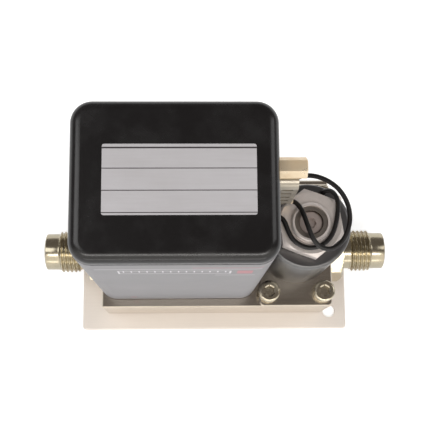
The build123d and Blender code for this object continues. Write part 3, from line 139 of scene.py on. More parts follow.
# %% [markdown]
# ## Sums of shader values
# A finish is mostly sums: a mask times a tint, one minus a mask, noise added to a roughness. Written as nodes
# they are hard to read, so one small class wraps a socket, and Python's own signs add the Math nodes. Every
# other node comes from its one method, which takes the node's kind, settings and inputs.

# %% A socket that can be reckoned with


class Wire:
    """A node's socket: a + b, 1 - a, a * b and the rest each add one Math node."""

    def __init__(self, socket):
        self.socket = socket

    def node(self, kind, settings, inputs, out=0):
        """Adds a node of a kind, gives its settings first, and then fills or links its inputs."""
        tree = self.socket.id_data
        made = tree.nodes.new(kind)
        stops = settings.pop("stops", ())
        for name, value in settings.items():
            setattr(made, name, value)
        if stops:
            ramp = made.color_ramp
            for place, colour in stops[1:-1]:
                ramp.elements.new(place).color = (*colour, 1.0)
            for element, (place, colour) in ((ramp.elements[0], stops[0]), (ramp.elements[-1], stops[-1])):
                element.position, element.color = place, (*colour, 1.0)
        for name, value in inputs.items():
            if isinstance(value, Wire):
                tree.links.new(value.socket, made.inputs[name])
            else:
                made.inputs[name].default_value = value
        return Wire(made.outputs[out])

    def maths(self, operation, *values):
        return self.node("ShaderNodeMath", {"operation": operation}, dict(enumerate((self, *values))))

    def __add__(self, other):
        return self.maths("ADD", other)

    def __sub__(self, other):
        return self.maths("SUBTRACT", other)

    def __rsub__(self, other):
        return self.node("ShaderNodeMath", {"operation": "SUBTRACT"}, {0: other, 1: self})

    def __mul__(self, other):
        return self.maths("MULTIPLY", other)

    __radd__, __rmul__ = __add__, __mul__


# %% [markdown]
# ## A finish and what it is made of
# Each finish starts from the Object coordinates, which are metres in the instrument's own frame, so a pattern
# has its real size. The helpers below are the few patterns that machined and moulded things share: grain,
# drawn-out brushing, a band between two limits, and colours mixed by a mask.

# %% Starting and ending a finish


def colour_of(red, green, blue):
    """The linear colour of a screen colour from 0 to 255, by the sRGB curve."""
    share = np.array((red, green, blue)) / 255
    return tuple(np.where(share <= 0.04045, share / 12.92, ((share + 0.055) / 1.055) ** 2.4).tolist())


def begin(name):
    """A new material and its Object coordinates as a Wire."""
    material = bpy.data.materials.new(name)
    material.use_nodes = True
    material.node_tree.nodes.clear()
    return material, Wire(material.node_tree.nodes.new("ShaderNodeTexCoord").outputs["Object"])


def complete(material, place, colour, roughness, height=None, depth=0.0001, **fixed):
    """Joins the parts of a finish to its shader; a bump height is in shares of its depth in metres."""
    sockets = {"Base Color": colour, "Roughness": roughness}
    if height is not None:
        bump = {"Strength": 1.0, "Distance": depth, "Height": height}
        sockets["Normal"] = place.node("ShaderNodeBump", {}, bump)
    sockets.update({name.replace("_", " "): value for name, value in fixed.items()})
    shader = place.node("ShaderNodeBsdfPrincipled", {}, sockets)
    output = material.node_tree.nodes.new("ShaderNodeOutputMaterial")
    material.node_tree.links.new(shader.socket, output.inputs["Surface"])
    return material


# %% Patterns that the finishes share


def grain(place, scale, detail=3.0, stretch=(1, 1, 1)):
    """Noise from 0 to 1 with so many grains to a metre, drawn out where stretch is small."""
    drawn = place.node("ShaderNodeMapping", {}, {"Vector": place, "Scale": stretch})
    return place.node("ShaderNodeTexNoise", {}, {"Vector": drawn, "Scale": scale, "Detail": detail})


def axis_of(place, index):
    """One coordinate of the place, in metres."""
    return place.node("ShaderNodeSeparateXYZ", {}, {"Vector": place}, out=index)


def between(value, low, high, soft=0.00005):
    """One between two limits and zero outside, over a soft edge."""
    settings = {"interpolation_type": "SMOOTHSTEP", "clamp": True}
    rise = value.node("ShaderNodeMapRange", dict(settings), {0: value, 1: low - soft, 2: low + soft})
    fall = value.node("ShaderNodeMapRange", dict(settings), {0: value, 1: high - soft, 2: high + soft})
    return rise * (1 - fall)


def mixed(mask, first, second):
    """The first colour where the mask is 0 and the second where it is 1."""
    def socket(colour):
        return colour if isinstance(colour, Wire) else (*colour, 1.0)
    inputs = {0: mask, 6: socket(first), 7: socket(second)}
    return mask.node("ShaderNodeMix", {"data_type": "RGBA"}, inputs, out=2)


def shades(value, *stops):
    """A colour read from a ramp of (place, colour) stops."""
    return value.node("ShaderNodeValToRGB", {"stops": stops}, {0: value})


print("a grey of 128 is", [round(part, 3) for part in colour_of(128, 128, 128)], "in linear light")

# %% [markdown]
# ## Steels
# The body, the plate and the fittings are stainless steel, each cut another way. Rolled sheet has long fine
# lines, a face-milled block is nearly a mirror with faint cutter arcs, and turned bar has rings round its
# axis. One function makes them all: the pattern that is drawn out differs, and the colour stays warm.

# %% Steels


def steel(name, tone, rough, stretch, scale=900.0, depth=0.000004, spread=0.10, metal=1.0):
    """A metal whose lines run where stretch is small; tone is its screen colour.

    A blasted or rolled one has a lower share of metal, because its rough skin scatters light like paint."""
    material, place = begin(name)
    lines = grain(place, scale, 4.0, stretch)
    clouds = grain(place, 55.0, 2.0)
    dark = tuple(part * (1 - 2.2 * spread) for part in colour_of(*tone))
    colour = shades(lines * 0.45 + clouds * 0.55, (0.25, dark), (0.72, colour_of(*tone)))
    return complete(material, place, colour, lines * 0.12 + clouds * 0.10 + (rough - 0.11),
                    lines, depth, Metallic=metal)


satin_plate = steel("satin_plate", (250, 240, 230), 0.50, (0.03, 1.0, 1.0), 1500.0, 0.000006, 0.03, 0.16)
polished_body = steel("polished_body", (214, 204, 190), 0.17, (0.05, 1.0, 1.0), 1200.0, 0.0000015, 0.06)
screw_steel = steel("screw_steel", (222, 212, 190), 0.18, (1.0, 1.0, 0.06), 1800.0, 0.000003, 0.10)
washer_steel = steel("washer_steel", (205, 200, 192), 0.28, (1.0, 0.2, 1.0), 1200.0, 0.000003, 0.08)
inner_steel = steel("inner_steel", (206, 202, 194), 0.25, (0.08, 1.0, 1.0), 1400.0, 0.000003, 0.08)
magnet_steel = steel("magnet_steel", (176, 168, 160), 0.32, (1.0, 1.0, 0.05), 1500.0, 0.000004, 0.12)
tin_sheet = steel("tin_sheet", (214, 214, 210), 0.36, (1.0, 1.0, 0.08), 700.0, 0.000006, 0.14)
print("seven steels made")

# %% [markdown]
# ## Plating
# The nut and the connector's shell and hex posts are plated. Plating is thin, so it shows the shine of the
# metal below with a warmer or colder tint, small pits, and a duller film where fingers and tools have been.

# %% Plating


def plating(name, tone, film, rough, pits=2600.0, metal=1.0):
    """Plated metal with a film of another tint in patches, and fine pits; a dull plate is less metal."""
    material, place = begin(name)
    patches = shades(grain(place, 260.0, 5.0), (0.38, (0, 0, 0)), (0.66, (1, 1, 1)))
    pitting = grain(place, pits, 2.0)
    colour = mixed(patches * 0.8, colour_of(*tone), colour_of(*film))
    return complete(material, place, colour, patches * 0.12 + pitting * 0.08 + rough,
                    pitting, 0.000006, Metallic=metal)


nut_nickel = plating("nut_nickel", (240, 231, 225), (222, 212, 206), 0.32, 2600.0, 0.55)
shell_tin = plating("shell_tin", (170, 163, 150), (150, 143, 131), 0.26)
post_gold = plating("post_gold", (250, 230, 198), (238, 212, 174), 0.24, 2600.0, 0.62)
pin_gold = plating("pin_gold", (232, 196, 120), (206, 164, 84), 0.18)
adjuster_steel = plating("adjuster_steel", (196, 182, 176), (164, 150, 144), 0.32, 2600.0, 0.6)
print("five platings made")

# %% [markdown]
# ## Black enamel and moulded black
# The cover is deep-drawn sheet with stoved black enamel, which dries with a faint orange peel. The coil is
# moulded, with a finer, drier skin. Both are nearly black, so their shape is told by highlights alone: a low
# specular level keeps broad faces dark while the rounded edges still catch the lamps.

# %% Black enamel and moulded black


def black(name, tone, rough, peel, depth, level, dust=0.006):
    """A black skin with peel of so many bumps to a metre, and a trace of dust lying in patches."""
    material, place = begin(name)
    skin = grain(place, peel, 2.0)
    film = shades(grain(place, 130.0, 5.0), (0.45, (0, 0, 0)), (0.75, (1, 1, 1)))
    base = colour_of(*tone)
    colour = mixed(film, base, tuple(part + dust for part in base))
    return complete(material, place, colour, film * 0.08 + skin * 0.06 + rough, skin, depth,
                    Specular_IOR_Level=level)


cover_enamel = black("cover_enamel", (17, 15, 16), 0.20, 900.0, 0.000008, 0.60)
coil_moulding = black("coil_moulding", (38, 36, 38), 0.26, 2400.0, 0.000006, 1.9)
insulator_black = black("insulator_black", (30, 29, 30), 0.46, 3000.0, 0.000010, 0.4)
plug_rubber = black("plug_rubber", (26, 26, 26), 0.58, 2200.0, 0.000014, 0.35)
seal_rubber = black("seal_rubber", (24, 24, 25), 0.50, 2600.0, 0.000010, 0.4)
lead_skin = black("lead_skin", (22, 19, 19), 0.36, 2600.0, 0.000012, 0.45)
chip_moulding = black("chip_moulding", (36, 35, 36), 0.55, 2600.0, 0.000012, 0.4)
print("seven blacks made")

# %% [markdown]
# ## Labels
# The top label is a silver form with three ruled rows, and the front one a grey film that wraps the corners
# with a band of plain marks near its top. Images could carry the print, but a label is rectangles and lines,
# so each is a product of two bands of Object coordinates. They carry no words.

# %% Top label
top_low, top_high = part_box("top_label")
print("top label", [round(side * 1000, 2) for side in top_high - top_low], "mm")


def rectangle(across, along, left, right, bottom, top, soft=0.00006):
    """A mask that is one inside a rectangle of two coordinates."""
    return between(across, left, right, soft) * between(along, bottom, top, soft)


def silver_label():
    """Silver film with a heavy line near its back edge and three thin rules."""
    material, place = begin("silver_label")
    across, along = axis_of(place, 0), axis_of(place, 1)
    height = top_high.y - top_low.y
    left, right = top_low.x, top_high.x
    rules = rectangle(across, along, left, right, top_high.y - 0.00115, top_high.y - 0.00075)
    for share in (0.655, 0.345, 0.035):
        line = top_low.y + share * height
        rules = rules + rectangle(across, along, left, right, line - 0.00011, line + 0.00011, 0.00003)
    fibre = grain(place, 1600.0, 3.0, (0.05, 1.0, 1.0))
    clouds = grain(place, 90.0, 3.0)
    film = shades(fibre * 0.4 + clouds * 0.6, (0.3, colour_of(182, 178, 179)), (0.7, colour_of(192, 189, 191)))
    return complete(material, place, mixed(rules, film, colour_of(58, 52, 54)), fibre * 0.10 + 0.38,
                    fibre, 0.000004, Specular_IOR_Level=0.3)


top_film = silver_label()

# %% Front label
wrap_low, wrap_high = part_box("wrap_label")
print("front label", [round(side * 1000, 2) for side in wrap_high - wrap_low], "mm")


def grey_label():
    """Grey film with a white bar, a framed ruler, a red block and two fine lines, on the front alone."""
    material, place = begin("grey_label")
    across, depth, rise = (axis_of(place, index) for index in range(3))
    front = 1 - between(depth, wrap_low.y + 0.002, 1.0)
    left, top = wrap_low.x, wrap_high.z
    fibre = grain(place, 1500.0, 3.0)
    clouds = grain(place, 60.0, 3.0)
    film = shades(fibre * 0.3 + clouds * 0.7, (0.3, colour_of(132, 131, 135)), (0.7, colour_of(143, 141, 145)))
    bars = rectangle(across, rise, left + 0.0055, left + 0.0475, top - 0.0083, top - 0.0077)
    strip = rectangle(across, rise, left + 0.0110, left + 0.0400, top - 0.0170, top - 0.0112)
    middle = rectangle(across, rise, left + 0.0115, left + 0.0395, top - 0.0165, top - 0.0117)
    ticks = place.node("ShaderNodeTexBrick", {"offset": 0.0}, {
        "Vector": place.node("ShaderNodeCombineXYZ", {}, {0: across, 1: rise}),
        "Color1": (0, 0, 0, 1), "Color2": (0, 0, 0, 1), "Mortar": (1, 1, 1, 1), "Scale": 1.0,
        "Mortar Size": 0.0002, "Mortar Smooth": 0.2, "Brick Width": 0.0020, "Row Height": 0.2})
    ruler = rectangle(across, rise, left + 0.0110, left + 0.0400, top - 0.0144, top - 0.0117) * ticks
    fine = rectangle(across, rise, left + 0.0360, left + 0.0465, top - 0.0206, top - 0.0200)
    foot = rectangle(across, rise, left + 0.0130, left + 0.0230, wrap_low.z + 0.0060, wrap_low.z + 0.0066)
    white = (bars * 0.85 + (strip - middle) + ruler + fine * 0.7 + foot * 0.5) * front
    line = rectangle(across, rise, left + 0.0300, left + 0.0478, top - 0.0062, top - 0.0048)
    block = rectangle(across, rise, left + 0.0415, left + 0.0455, top - 0.0172, top - 0.0110)
    dot = rectangle(across, rise, left + 0.0105, left + 0.0125, wrap_low.z + 0.0058, wrap_low.z + 0.0070)
    red = (line * 0.55 + block + dot) * front
    colour = mixed(red * 0.75, mixed(white, film, colour_of(222, 220, 224)), colour_of(200, 116, 126))
    return complete(material, place, colour, fibre * 0.12 + 0.36, fibre, 0.000005, Specular_IOR_Level=0.35)


front_film = grey_label()

# %% [markdown]
# ## What is inside the cover
# The board, its parts and the sensor are seldom seen, but a reader who takes the cover off should find them
# finished. Solder mask, sleeves and mouldings are all a tint with mottling and a skin, so one function makes
# them, and the board's function adds its tracks.

# %% Small mouldings and sleeves


def moulded(name, tone, second, scale, rough, depth=0.00001, **fixed):
    """Two close tones in patches over a fine skin."""
    material, place = begin(name)
    patches = grain(place, scale, 4.0)
    skin = grain(place, 2500.0, 2.0)
    colour = shades(patches, (0.35, colour_of(*tone)), (0.65, colour_of(*second)))
    return complete(material, place, colour, skin * 0.12 + rough, skin, depth, **fixed)


capacitor_sleeve = moulded("capacitor_sleeve", (40, 60, 130), (32, 50, 112), 200.0, 0.25)
resistor_lacquer = moulded("resistor_lacquer", (198, 170, 126), (176, 146, 104), 500.0, 0.35)
pot_blue = moulded("pot_blue", (44, 100, 170), (36, 86, 150), 300.0, 0.40)
header_white = moulded("header_white", (230, 226, 214), (216, 210, 196), 300.0, 0.45)
flex_amber = moulded("flex_amber", (196, 120, 34), (170, 98, 22), 400.0, 0.22)
sintered = moulded("sintered", (172, 166, 156), (132, 126, 118), 3200.0, 0.62, 0.00008, Metallic=1.0)
winding_red = moulded("winding_red", (150, 54, 30), (120, 40, 22), 900.0, 0.28, 0.00002, Coat_Weight=0.4)

# %% Circuit board


def solder_mask():
    """Green lacquer with tracks: the raised edges of a brick pattern drawn upright on the board."""
    material, place = begin("solder_mask")
    across, rise = axis_of(place, 0), axis_of(place, 2)
    flat = place.node("ShaderNodeCombineXYZ", {}, {0: across, 1: rise})
    tracks = place.node("ShaderNodeTexBrick", {"offset": 0.37, "squash": 1.6}, {
        "Vector": flat, "Color1": (0, 0, 0, 1), "Color2": (0, 0, 0, 1), "Mortar": (1, 1, 1, 1), "Scale": 1.0,
        "Mortar Size": 0.00035, "Mortar Smooth": 0.1, "Brick Width": 0.0062, "Row Height": 0.0021})
    weave = grain(place, 1400.0, 3.0)
    lacquer = shades(weave, (0.3, colour_of(24, 84, 48)), (0.7, colour_of(32, 100, 58)))
    return complete(material, place, mixed(tracks, lacquer, colour_of(52, 132, 74)), weave * 0.1 + 0.3,
                    tracks, 0.00003, Coat_Weight=0.3)


board_mask = solder_mask()
print(len(bpy.data.materials), "finishes so far")

# %% [markdown]
# ## Ports with real threads
# Each end has a face-seal port: a hexagon, a neck, a screw thread and a polished nose with a sealing bead. The
# solids stop at the thread's outer cylinder. A bump map could fake the thread, but its silhouette would stay
# straight, so the port is one surface: for every station along its axis and every angle round it, a radius.
# In the hexagon the radius follows flat sides, and in the thread it falls and rises as the angle winds on.

# %% Port stations and radii
HEX_FLAT, HEX_LENGTH, HEX_TURN = 0.01905, 0.0056, math.radians(50.0)
NECK_RADIUS, NECK_LENGTH = 0.0062, 0.0027
CREST_RADIUS, THREAD_LENGTH, PITCH = 0.00713, 0.0074, 0.0254 / 18
NOSE_LENGTH, BORE_RADIUS = 0.0046, 0.0023
adapter_low, adapter_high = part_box("outlet_adapter")
BODY_END, PORT_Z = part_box("flow_body")[1].x, (adapter_low.z + adapter_high.z) / 2
PORT_LENGTH = HEX_LENGTH + NECK_LENGTH + THREAD_LENGTH + NOSE_LENGTH
AROUND, SHARP_DEGREES = 144, 32
THREAD_DEPTH, RUN_OUT = 0.00072, 0.0007


def port_radii(station, angle):
    """Radius at each station and angle.

    The hexagon's radius is half its flats over the cosine of the angle from the nearest flat's middle, cut by
    a cone at both faces. The thread's radius is the crest less a rounded tooth: the share of a turn, from the
    station over the pitch less the angle over a whole turn, goes through a triangle wave."""
    corner = HEX_FLAT / math.sqrt(3)
    bevel = (corner - HEX_FLAT / 2) * 0.6
    sixth = math.pi / 3
    from_flat = (angle - HEX_TURN) % sixth - sixth / 2
    flats = HEX_FLAT / 2 / np.cos(from_flat)
    into = np.clip(np.minimum(station, HEX_LENGTH - station), 0, None)
    cone = HEX_FLAT / 2 + np.clip(into / bevel, 0, 1) * (corner - HEX_FLAT / 2)
    hexagon = np.minimum(flats, cone)
    turn = (station / PITCH - angle / (2 * math.pi)) % 1.0
    tooth = np.clip(np.abs(turn * 2 - 1) * 1.25 - 0.12, 0, 1)
    start, stop = HEX_LENGTH + NECK_LENGTH, HEX_LENGTH + NECK_LENGTH + THREAD_LENGTH
    run_in = np.clip(np.minimum(station - start, stop - station) / RUN_OUT, 0, 1)
    crest = NECK_RADIUS + (CREST_RADIUS - NECK_RADIUS) * run_in
    thread = np.maximum(crest - THREAD_DEPTH * tooth * run_in, NECK_RADIUS * 0.985)
    return np.where(station <= HEX_LENGTH, hexagon, thread)


print("a thread of", round(THREAD_LENGTH / PITCH, 1), "turns")

# %% [markdown]
# The section goes once round the metal: up the back of the spigot with its seal groove, out over the hexagon,
# along the thread and nose, over the bead that the gasket meets, and home through the bore. Because it comes
# back to where it began, carrying it round the axis gives a closed surface with no cap to make.

# %% The port's section
BEAD_TUBE, BEAD_CENTRE, BEAD_SINK = 0.0006, 0.0041, 0.00024
BEAD_SWING = math.radians(66.4)
GROOVE = ((-0.0055, 0.0023), (-0.0055, 0.00605), (-0.0040, 0.00605), (-0.0040, 0.00775), (-0.0055, 0.00775),
          (-0.0055, 0.0080), (0.0, 0.0080))


def port_section():
    """Stations and radii of the loop, and which of them the hexagon or the thread overrules."""
    hexagon = np.unique(np.concatenate([np.linspace(0, 0.0009, 5), np.linspace(0.0009, HEX_LENGTH - 0.0009, 4),
                                        np.linspace(HEX_LENGTH - 0.0009, HEX_LENGTH, 5)]))
    start = HEX_LENGTH + NECK_LENGTH
    thread = np.linspace(start, start + THREAD_LENGTH, round(THREAD_LENGTH / PITCH * 16))
    swing = np.linspace(BEAD_SWING, -BEAD_SWING, 9)
    bead = np.column_stack([PORT_LENGTH - BEAD_SINK + BEAD_TUBE * np.cos(swing),
                            BEAD_CENTRE + BEAD_TUBE * np.sin(swing)])
    nose = ((PORT_LENGTH - 0.0006, NECK_RADIUS), (PORT_LENGTH - 0.0003, NECK_RADIUS - 0.0001),
            (PORT_LENGTH, NECK_RADIUS - 0.0006))
    mouth = ((PORT_LENGTH, BORE_RADIUS + 0.0002), (PORT_LENGTH - 0.0002, BORE_RADIUS), (0.0, BORE_RADIUS))
    rows = [(*row, 0) for row in GROOVE] + [(row, 0.0, 1) for row in hexagon]
    rows += [(HEX_LENGTH, NECK_RADIUS + 0.0003, 0), (HEX_LENGTH + 0.0003, NECK_RADIUS, 0)]
    rows += [(row, 0.0, 1) for row in thread] + [(start + THREAD_LENGTH + 0.0002, NECK_RADIUS, 0)]
    rows += [(*row, 0) for row in (*nose, *bead, *mouth)]
    return np.array(rows)


def grid_faces(rows, columns, looped):
    """Quads between neighbouring rows and columns, the columns joined round, and the rows too if looped."""
    row, column = np.meshgrid(np.arange(rows if looped else rows - 1), np.arange(columns), indexing="ij")
    below, beside = (row + 1) % rows, (column + 1) % columns
    return np.stack([row * columns + column, below * columns + column, below * columns + beside,
                     row * columns + beside], axis=-1).reshape(-1, 4)


def grid_mesh(name, grids, looped):
    """A smooth mesh with sharp edges from grids of points (rows, columns, 3), closed and facing outwards.

    A grid that isn't looped is closed by one flat face at each end. With a quad's corners a, b, c and d, the
    sum of a . (b x c + c x d) / 6 over the quads is the volume of a looped grid, and near enough to it
    for an open one to have its sign. Where the sum is below zero, every face is turned."""
    faces, points, count = [], [], 0
    for grid in grids:
        rows, columns = grid.shape[:2]
        flat = grid.reshape(-1, 3)
        quads = grid_faces(rows, columns, looped)
        first, second, third, fourth = (flat[quads[:, index]] for index in range(4))
        volume = (first * (np.cross(second, third) + np.cross(third, fourth))).sum() / 6
        turn = -1 if volume < 0 else 1
        first_row, last_row = list(range(columns)), list(range((rows - 1) * columns, rows * columns))
        ends = [] if looped else [first_row, last_row[::-1]]
        faces += [[count + corner for corner in face[::turn]] for face in quads.tolist() + ends]
        points.append(flat)
        count += len(flat)
    mesh = bpy.data.meshes.new(name)
    mesh.from_pydata(np.concatenate(points), [], faces)
    mesh.polygons.foreach_set("use_smooth", np.ones(len(faces), dtype=bool))
    mesh.set_sharp_from_angle(angle=math.radians(SHARP_DEGREES))
    print(name, "has", len(faces), "faces; its grid turned by", turn)
    return mesh


# %% Two port adapters


def port_adapter(name, side, solid):
    """The section carried round the port's axis.

    At angle a the point is the axis, plus the station outwards, plus the radius times cosine a upwards and
    sine a along the direction that is square to both, so the thread is right-handed at either end."""
    section = port_section()
    angle = np.linspace(0, 2 * math.pi, AROUND, endpoint=False)[None, :]
    station = section[:, :1] + np.zeros_like(angle)
    radius = np.where(section[:, 2:] > 0.5, port_radii(station, angle), section[:, 1:2])
    points = np.stack([side * (BODY_END + station), -side * radius * np.sin(angle),
                       PORT_Z + radius * np.cos(angle)], axis=-1)
    mesh = grid_mesh(name, [points], True)
    port = bpy.data.objects.new(name, mesh)
    scene.collection.objects.link(port)
    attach(port, "controller")
    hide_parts(solid)
    print(name, "reaches", round(np.abs(points[..., 0]).max() * 1000, 2), "mm from the middle")
    return port


outlet_port = port_adapter("outlet_port", 1, "outlet_adapter")
inlet_port = port_adapter("inlet_port", -1, "inlet_adapter")

# %% [markdown]
# ## Cap screws
# The valve's retainer is held by four socket-head screws. Up close such a head has a knurled side, a rounded
# shoulder and a hexagon socket with a small mouth chamfer. The same idea as the port makes all four: radii
# that depend on the angle, where a row is the socket or the knurl, and plain circles elsewhere.

# %% Cap screws
HEAD_RADIUS, HEAD_HEIGHT, SHANK_RADIUS, SHANK_LENGTH = 0.0035, 0.0040, 0.0020, 0.0080
SEAT_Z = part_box("valve_retainer")[1].z
screws_low, screws_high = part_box("retainer_screws")
SCREW_PLACES = [(across, along) for along in (screws_low.y + HEAD_RADIUS, screws_high.y - HEAD_RADIUS)
                for across in (screws_low.x + HEAD_RADIUS, screws_high.x - HEAD_RADIUS)]
KEY_FLAT, KEY_DEPTH, KNURLS, KNURL_DEPTH, SHOULDER = 0.0030, 0.0022, 36, 0.00014, 0.0007


def cap_screws():
    """Rows of (height above the seat, radius, kind) turned into points round each screw's axis.

    Kind 1 is the socket: half its flats over the cosine of the angle from the nearest flat's middle. Kind 2 is
    the knurl: the radius less a small triangle wave that repeats once for each ridge."""
    top = HEAD_HEIGHT
    swing = np.linspace(0, math.pi / 2, 6)
    shoulder = np.column_stack([top - SHOULDER * (1 - np.cos(swing)),
                                HEAD_RADIUS - SHOULDER * (1 - np.sin(swing))])
    rows = [(top - KEY_DEPTH, 0, 1), (top - 0.0003, 0, 1), (top, 0.00195, 0)]
    rows += [(*row, 0) for row in shoulder] + [(top - 0.0008, 0, 2), (0.0006, 0, 2), (0.0005, HEAD_RADIUS, 0)]
    rows += [(0.0, HEAD_RADIUS - 0.0002, 0), (0.0, SHANK_RADIUS, 0), (-SHANK_LENGTH + 0.0004, SHANK_RADIUS, 0),
             (-SHANK_LENGTH, SHANK_RADIUS - 0.0004, 0)]
    rows = np.array(rows)
    angle = np.linspace(0, 2 * math.pi, AROUND, endpoint=False)[None, :]
    sixth = math.pi / 3
    socket = KEY_FLAT / 2 / np.cos((angle + sixth / 2) % sixth - sixth / 2)
    ridge = np.abs((angle * KNURLS / (2 * math.pi)) % 1.0 * 2 - 1)
    knurl = HEAD_RADIUS - KNURL_DEPTH * ridge
    radius = np.where(rows[:, 2:] == 1, socket, np.where(rows[:, 2:] == 2, knurl, rows[:, 1:2]))
    height = SEAT_Z + rows[:, :1] + np.zeros_like(angle)
    return [np.stack([across + radius * np.cos(angle), along + radius * np.sin(angle), height], axis=-1)
            for across, along in SCREW_PLACES]


cap_screw_set = bpy.data.objects.new("cap_screws", grid_mesh("cap_screws", cap_screws(), False))
scene.collection.objects.link(cap_screw_set)
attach(cap_screw_set, "controller")
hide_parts("retainer_screws")

# %% [markdown]
# A lathe leaves rings, so the ports' finish reads noise at a point made of the station and the distance from
# the axis: every place on one ring then has one value, on the cylinders and on the faces alike.

# %% Turned steel


def turned_finish(name, tone, rough):
    """A turned metal: its rings are noise read at (station, distance from the axis)."""
    material, place = begin(name)
    along, across, rise = (axis_of(place, index) for index in range(3))
    rise = rise - PORT_Z
    radius = (across * across + rise * rise).maths("SQRT")
    ring = place.node("ShaderNodeCombineXYZ", {}, {0: along, 1: radius})
    rings = place.node("ShaderNodeTexNoise", {}, {"Vector": ring, "Scale": 5200.0, "Detail": 2.0})
    clouds = grain(place, 160.0, 3.0)
    dark = tuple(part * 0.72 for part in colour_of(*tone))
    colour = shades(rings * 0.35 + clouds * 0.65, (0.3, dark), (0.7, colour_of(*tone)))
    return complete(material, place, colour, rings * 0.10 + clouds * 0.08 + (rough - 0.09), rings, 0.000004,
                    Metallic=1.0)


port_steel = turned_finish("port_steel", (204, 194, 170), 0.20)

# %% [markdown]
# ## Dressing every piece
# Each solid keeps its shape and gets its finish through its own material slots. One table says which, so that
# no piece is forgotten: the loop prints any node that still has no finish.

# %% Finishes for the solids
DRESS = {
    satin_plate: ("mounting_plate",), polished_body: ("flow_body", "valve_retainer"),
    screw_steel: ("plate_screws", "can_screws", "sensor_screws", "angle_screws", "board_screws"),
    washer_steel: ("coil_washer",), nut_nickel: ("coil_nut",), shell_tin: ("connector_shell",),
    post_gold: ("jackscrews", "jack_nuts"), pin_gold: ("connector_pins", "trim_screws"),
    adjuster_steel: ("stem_adjuster",), magnet_steel: ("valve_stem", "valve_plunger", "coil_base_ring"),
    inner_steel: ("flow_restrictor", "restrictor_keeper", "sensor_base", "sensor_tube", "valve_orifice",
                  "plunger_spring"),
    tin_sheet: ("sensor_cover", "board_angle"), sintered: ("inlet_filter",),
    cover_enamel: ("cover_can",), coil_moulding: ("coil_housing",),
    insulator_black: ("connector_insulator", "coil_bobbin"), plug_rubber: ("access_plugs", "lead_grommet"),
    seal_rubber: ("inlet_seal", "outlet_seal", "sensor_seals", "orifice_seal", "stem_seal", "plunger_seat"),
    lead_skin: ("lead_tails",), top_film: ("top_label",), front_film: ("wrap_label",),
    board_mask: ("circuit_board",), chip_moulding: ("chips",), capacitor_sleeve: ("capacitors",),
    resistor_lacquer: ("resistors",), pot_blue: ("trim_pots",),
    header_white: ("sensor_header", "board_spacers"),
    flex_amber: ("sensor_flex",), winding_red: ("coil_winding", "sensor_windings"),
}


def dress(piece, material):
    """Gives a piece one finish, in its first and only slot."""
    piece.data.materials.clear()
    piece.data.materials.append(material)


dressed = {"inlet_adapter", "outlet_adapter", "retainer_screws", "coil_lead_front", "coil_lead_back"}
for material, names in DRESS.items():
    for name in names:
        dress(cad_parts[name], material)
        dressed.add(name)
for port in (outlet_port, inlet_port):
    dress(port, port_steel)
for wire in (front_lead, back_lead):
    dress(wire, lead_skin)
dress(cap_screw_set, screw_steel)
print("still bare:", sorted(set(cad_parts) - dressed))

# %% [markdown]
# ## Floor, sky and lamps
# A pale floor takes the shadow. To the camera it is nearly white, and to mirrors a little lighter than it is,
# by Light Path's rays and not by more light. Steel shows what it faces, so the sky is a gradient that is dim
# straight above, where the camera looks from, and bright at mid height in front, which gives the rounded metal
# its dark and light bands.

# %% Floor
FLOOR_HALF = 3.0


def floor_finish():
    """Matt paper that glows only to camera rays and, more faintly, to mirror rays."""
    material, place = begin("floor_paper")
    rays = Wire(material.node_tree.nodes.new("ShaderNodeLightPath").outputs["Is Camera Ray"])
    mirrors = Wire(material.node_tree.nodes.new("ShaderNodeLightPath").outputs["Is Glossy Ray"])
    fibre = grain(place, 400.0, 4.0)
    return complete(material, place, shades(fibre, (0.3, (0.86, 0.86, 0.86)), (0.7, (0.90, 0.90, 0.90))), 0.9,
                    Emission_Color=rays * 0.5 + mirrors * 0.22, Emission_Strength=1.0)


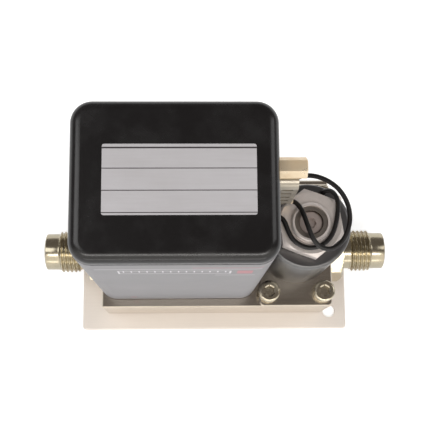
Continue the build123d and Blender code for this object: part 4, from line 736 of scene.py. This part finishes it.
corners = np.array([(-1, -1, 0), (1, -1, 0), (1, 1, 0), (-1, 1, 0)]) * FLOOR_HALF
floor_mesh = bpy.data.meshes.new("floor")
floor_mesh.from_pydata(corners, [], [(0, 1, 2, 3)])
floor = bpy.data.objects.new("floor", floor_mesh)
scene.collection.objects.link(floor)
dress(floor, floor_finish())
floor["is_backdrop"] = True

# %% Sky
sky = bpy.data.worlds.new("sky")
sky.use_nodes = True
scene.world = sky
tree = sky.node_tree
tree.nodes.clear()
facing = Wire(tree.nodes.new("ShaderNodeTexCoord").outputs["Generated"])
paths = tree.nodes.new("ShaderNodeLightPath")
camera_ray, mirror_ray = Wire(paths.outputs["Is Camera Ray"]), Wire(paths.outputs["Is Glossy Ray"])
height = axis_of(facing, 2)
front = axis_of(facing, 1) * -1
dim = shades(height, (0.0, (0.34, 0.32, 0.31)), (0.25, (0.18, 0.165, 0.16)), (0.90, (0.15, 0.135, 0.125)))
ahead = front.node("ShaderNodeMapRange", {"interpolation_type": "SMOOTHSTEP"}, {0: front, 1: 0.12, 2: 0.60})
mirrored = mixed(ahead, dim, (1.10, 1.06, 1.0))
lighting = mixed(mirror_ray, (0.58, 0.58, 0.58), mirrored)
glow = mixed(camera_ray, lighting, (1.0, 1.0, 1.0))
background = facing.node("ShaderNodeBackground", {}, {"Color": glow, "Strength": 1.0})
world_output = tree.nodes.new("ShaderNodeOutputWorld")
tree.links.new(background.socket, world_output.inputs["Surface"])
print("sky of", len(tree.nodes), "nodes")

# %% Lamps


def softbox(name, place, target, size, watts, tint=(1, 1, 1)):
    """A rectangular lamp at a place in metres, facing a target."""
    data = bpy.data.lights.new(name, "AREA")
    data.shape = "RECTANGLE"
    data.size, data.size_y = size
    data.energy = watts
    data.color = tint
    lamp = bpy.data.objects.new(name, data)
    lamp.location = place
    lamp.rotation_euler = (Vector(target) - Vector(place)).to_track_quat("-Z", "Y").to_euler()
    scene.collection.objects.link(lamp)
    print(name, "gives", watts, "W")


AIM = (0.0, 0.0, 0.04)
softbox("front_box", (0.0, -0.90, 0.24), AIM, (0.9, 0.14), 0.7, (1.0, 0.985, 0.96))
softbox("high_box", (0.0, -0.44, 0.80), AIM, (0.9, 0.14), 2.0, (1.0, 0.975, 0.94))
softbox("left_box", (-0.55, 0.1, 0.85), (0, 0, 0.05), (0.4, 0.6), 1.6)
softbox("right_box", (0.65, 0.2, 0.70), (0, 0, 0.05), (0.3, 0.6), 0.8)

# %% [markdown]
# ## Size of the dressed model
# The dressed pieces should stay inside the box of the solids, and both boxes are printed side by side.

# %% Sizes
dressed_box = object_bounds()
sizes = {"solids": [list(corner) for corner in solid_box], "dressed": [list(corner) for corner in dressed_box]}
for name, corners in sizes.items():
    print(name, [round(value * 1000, 2) for corner in corners for value in corner])
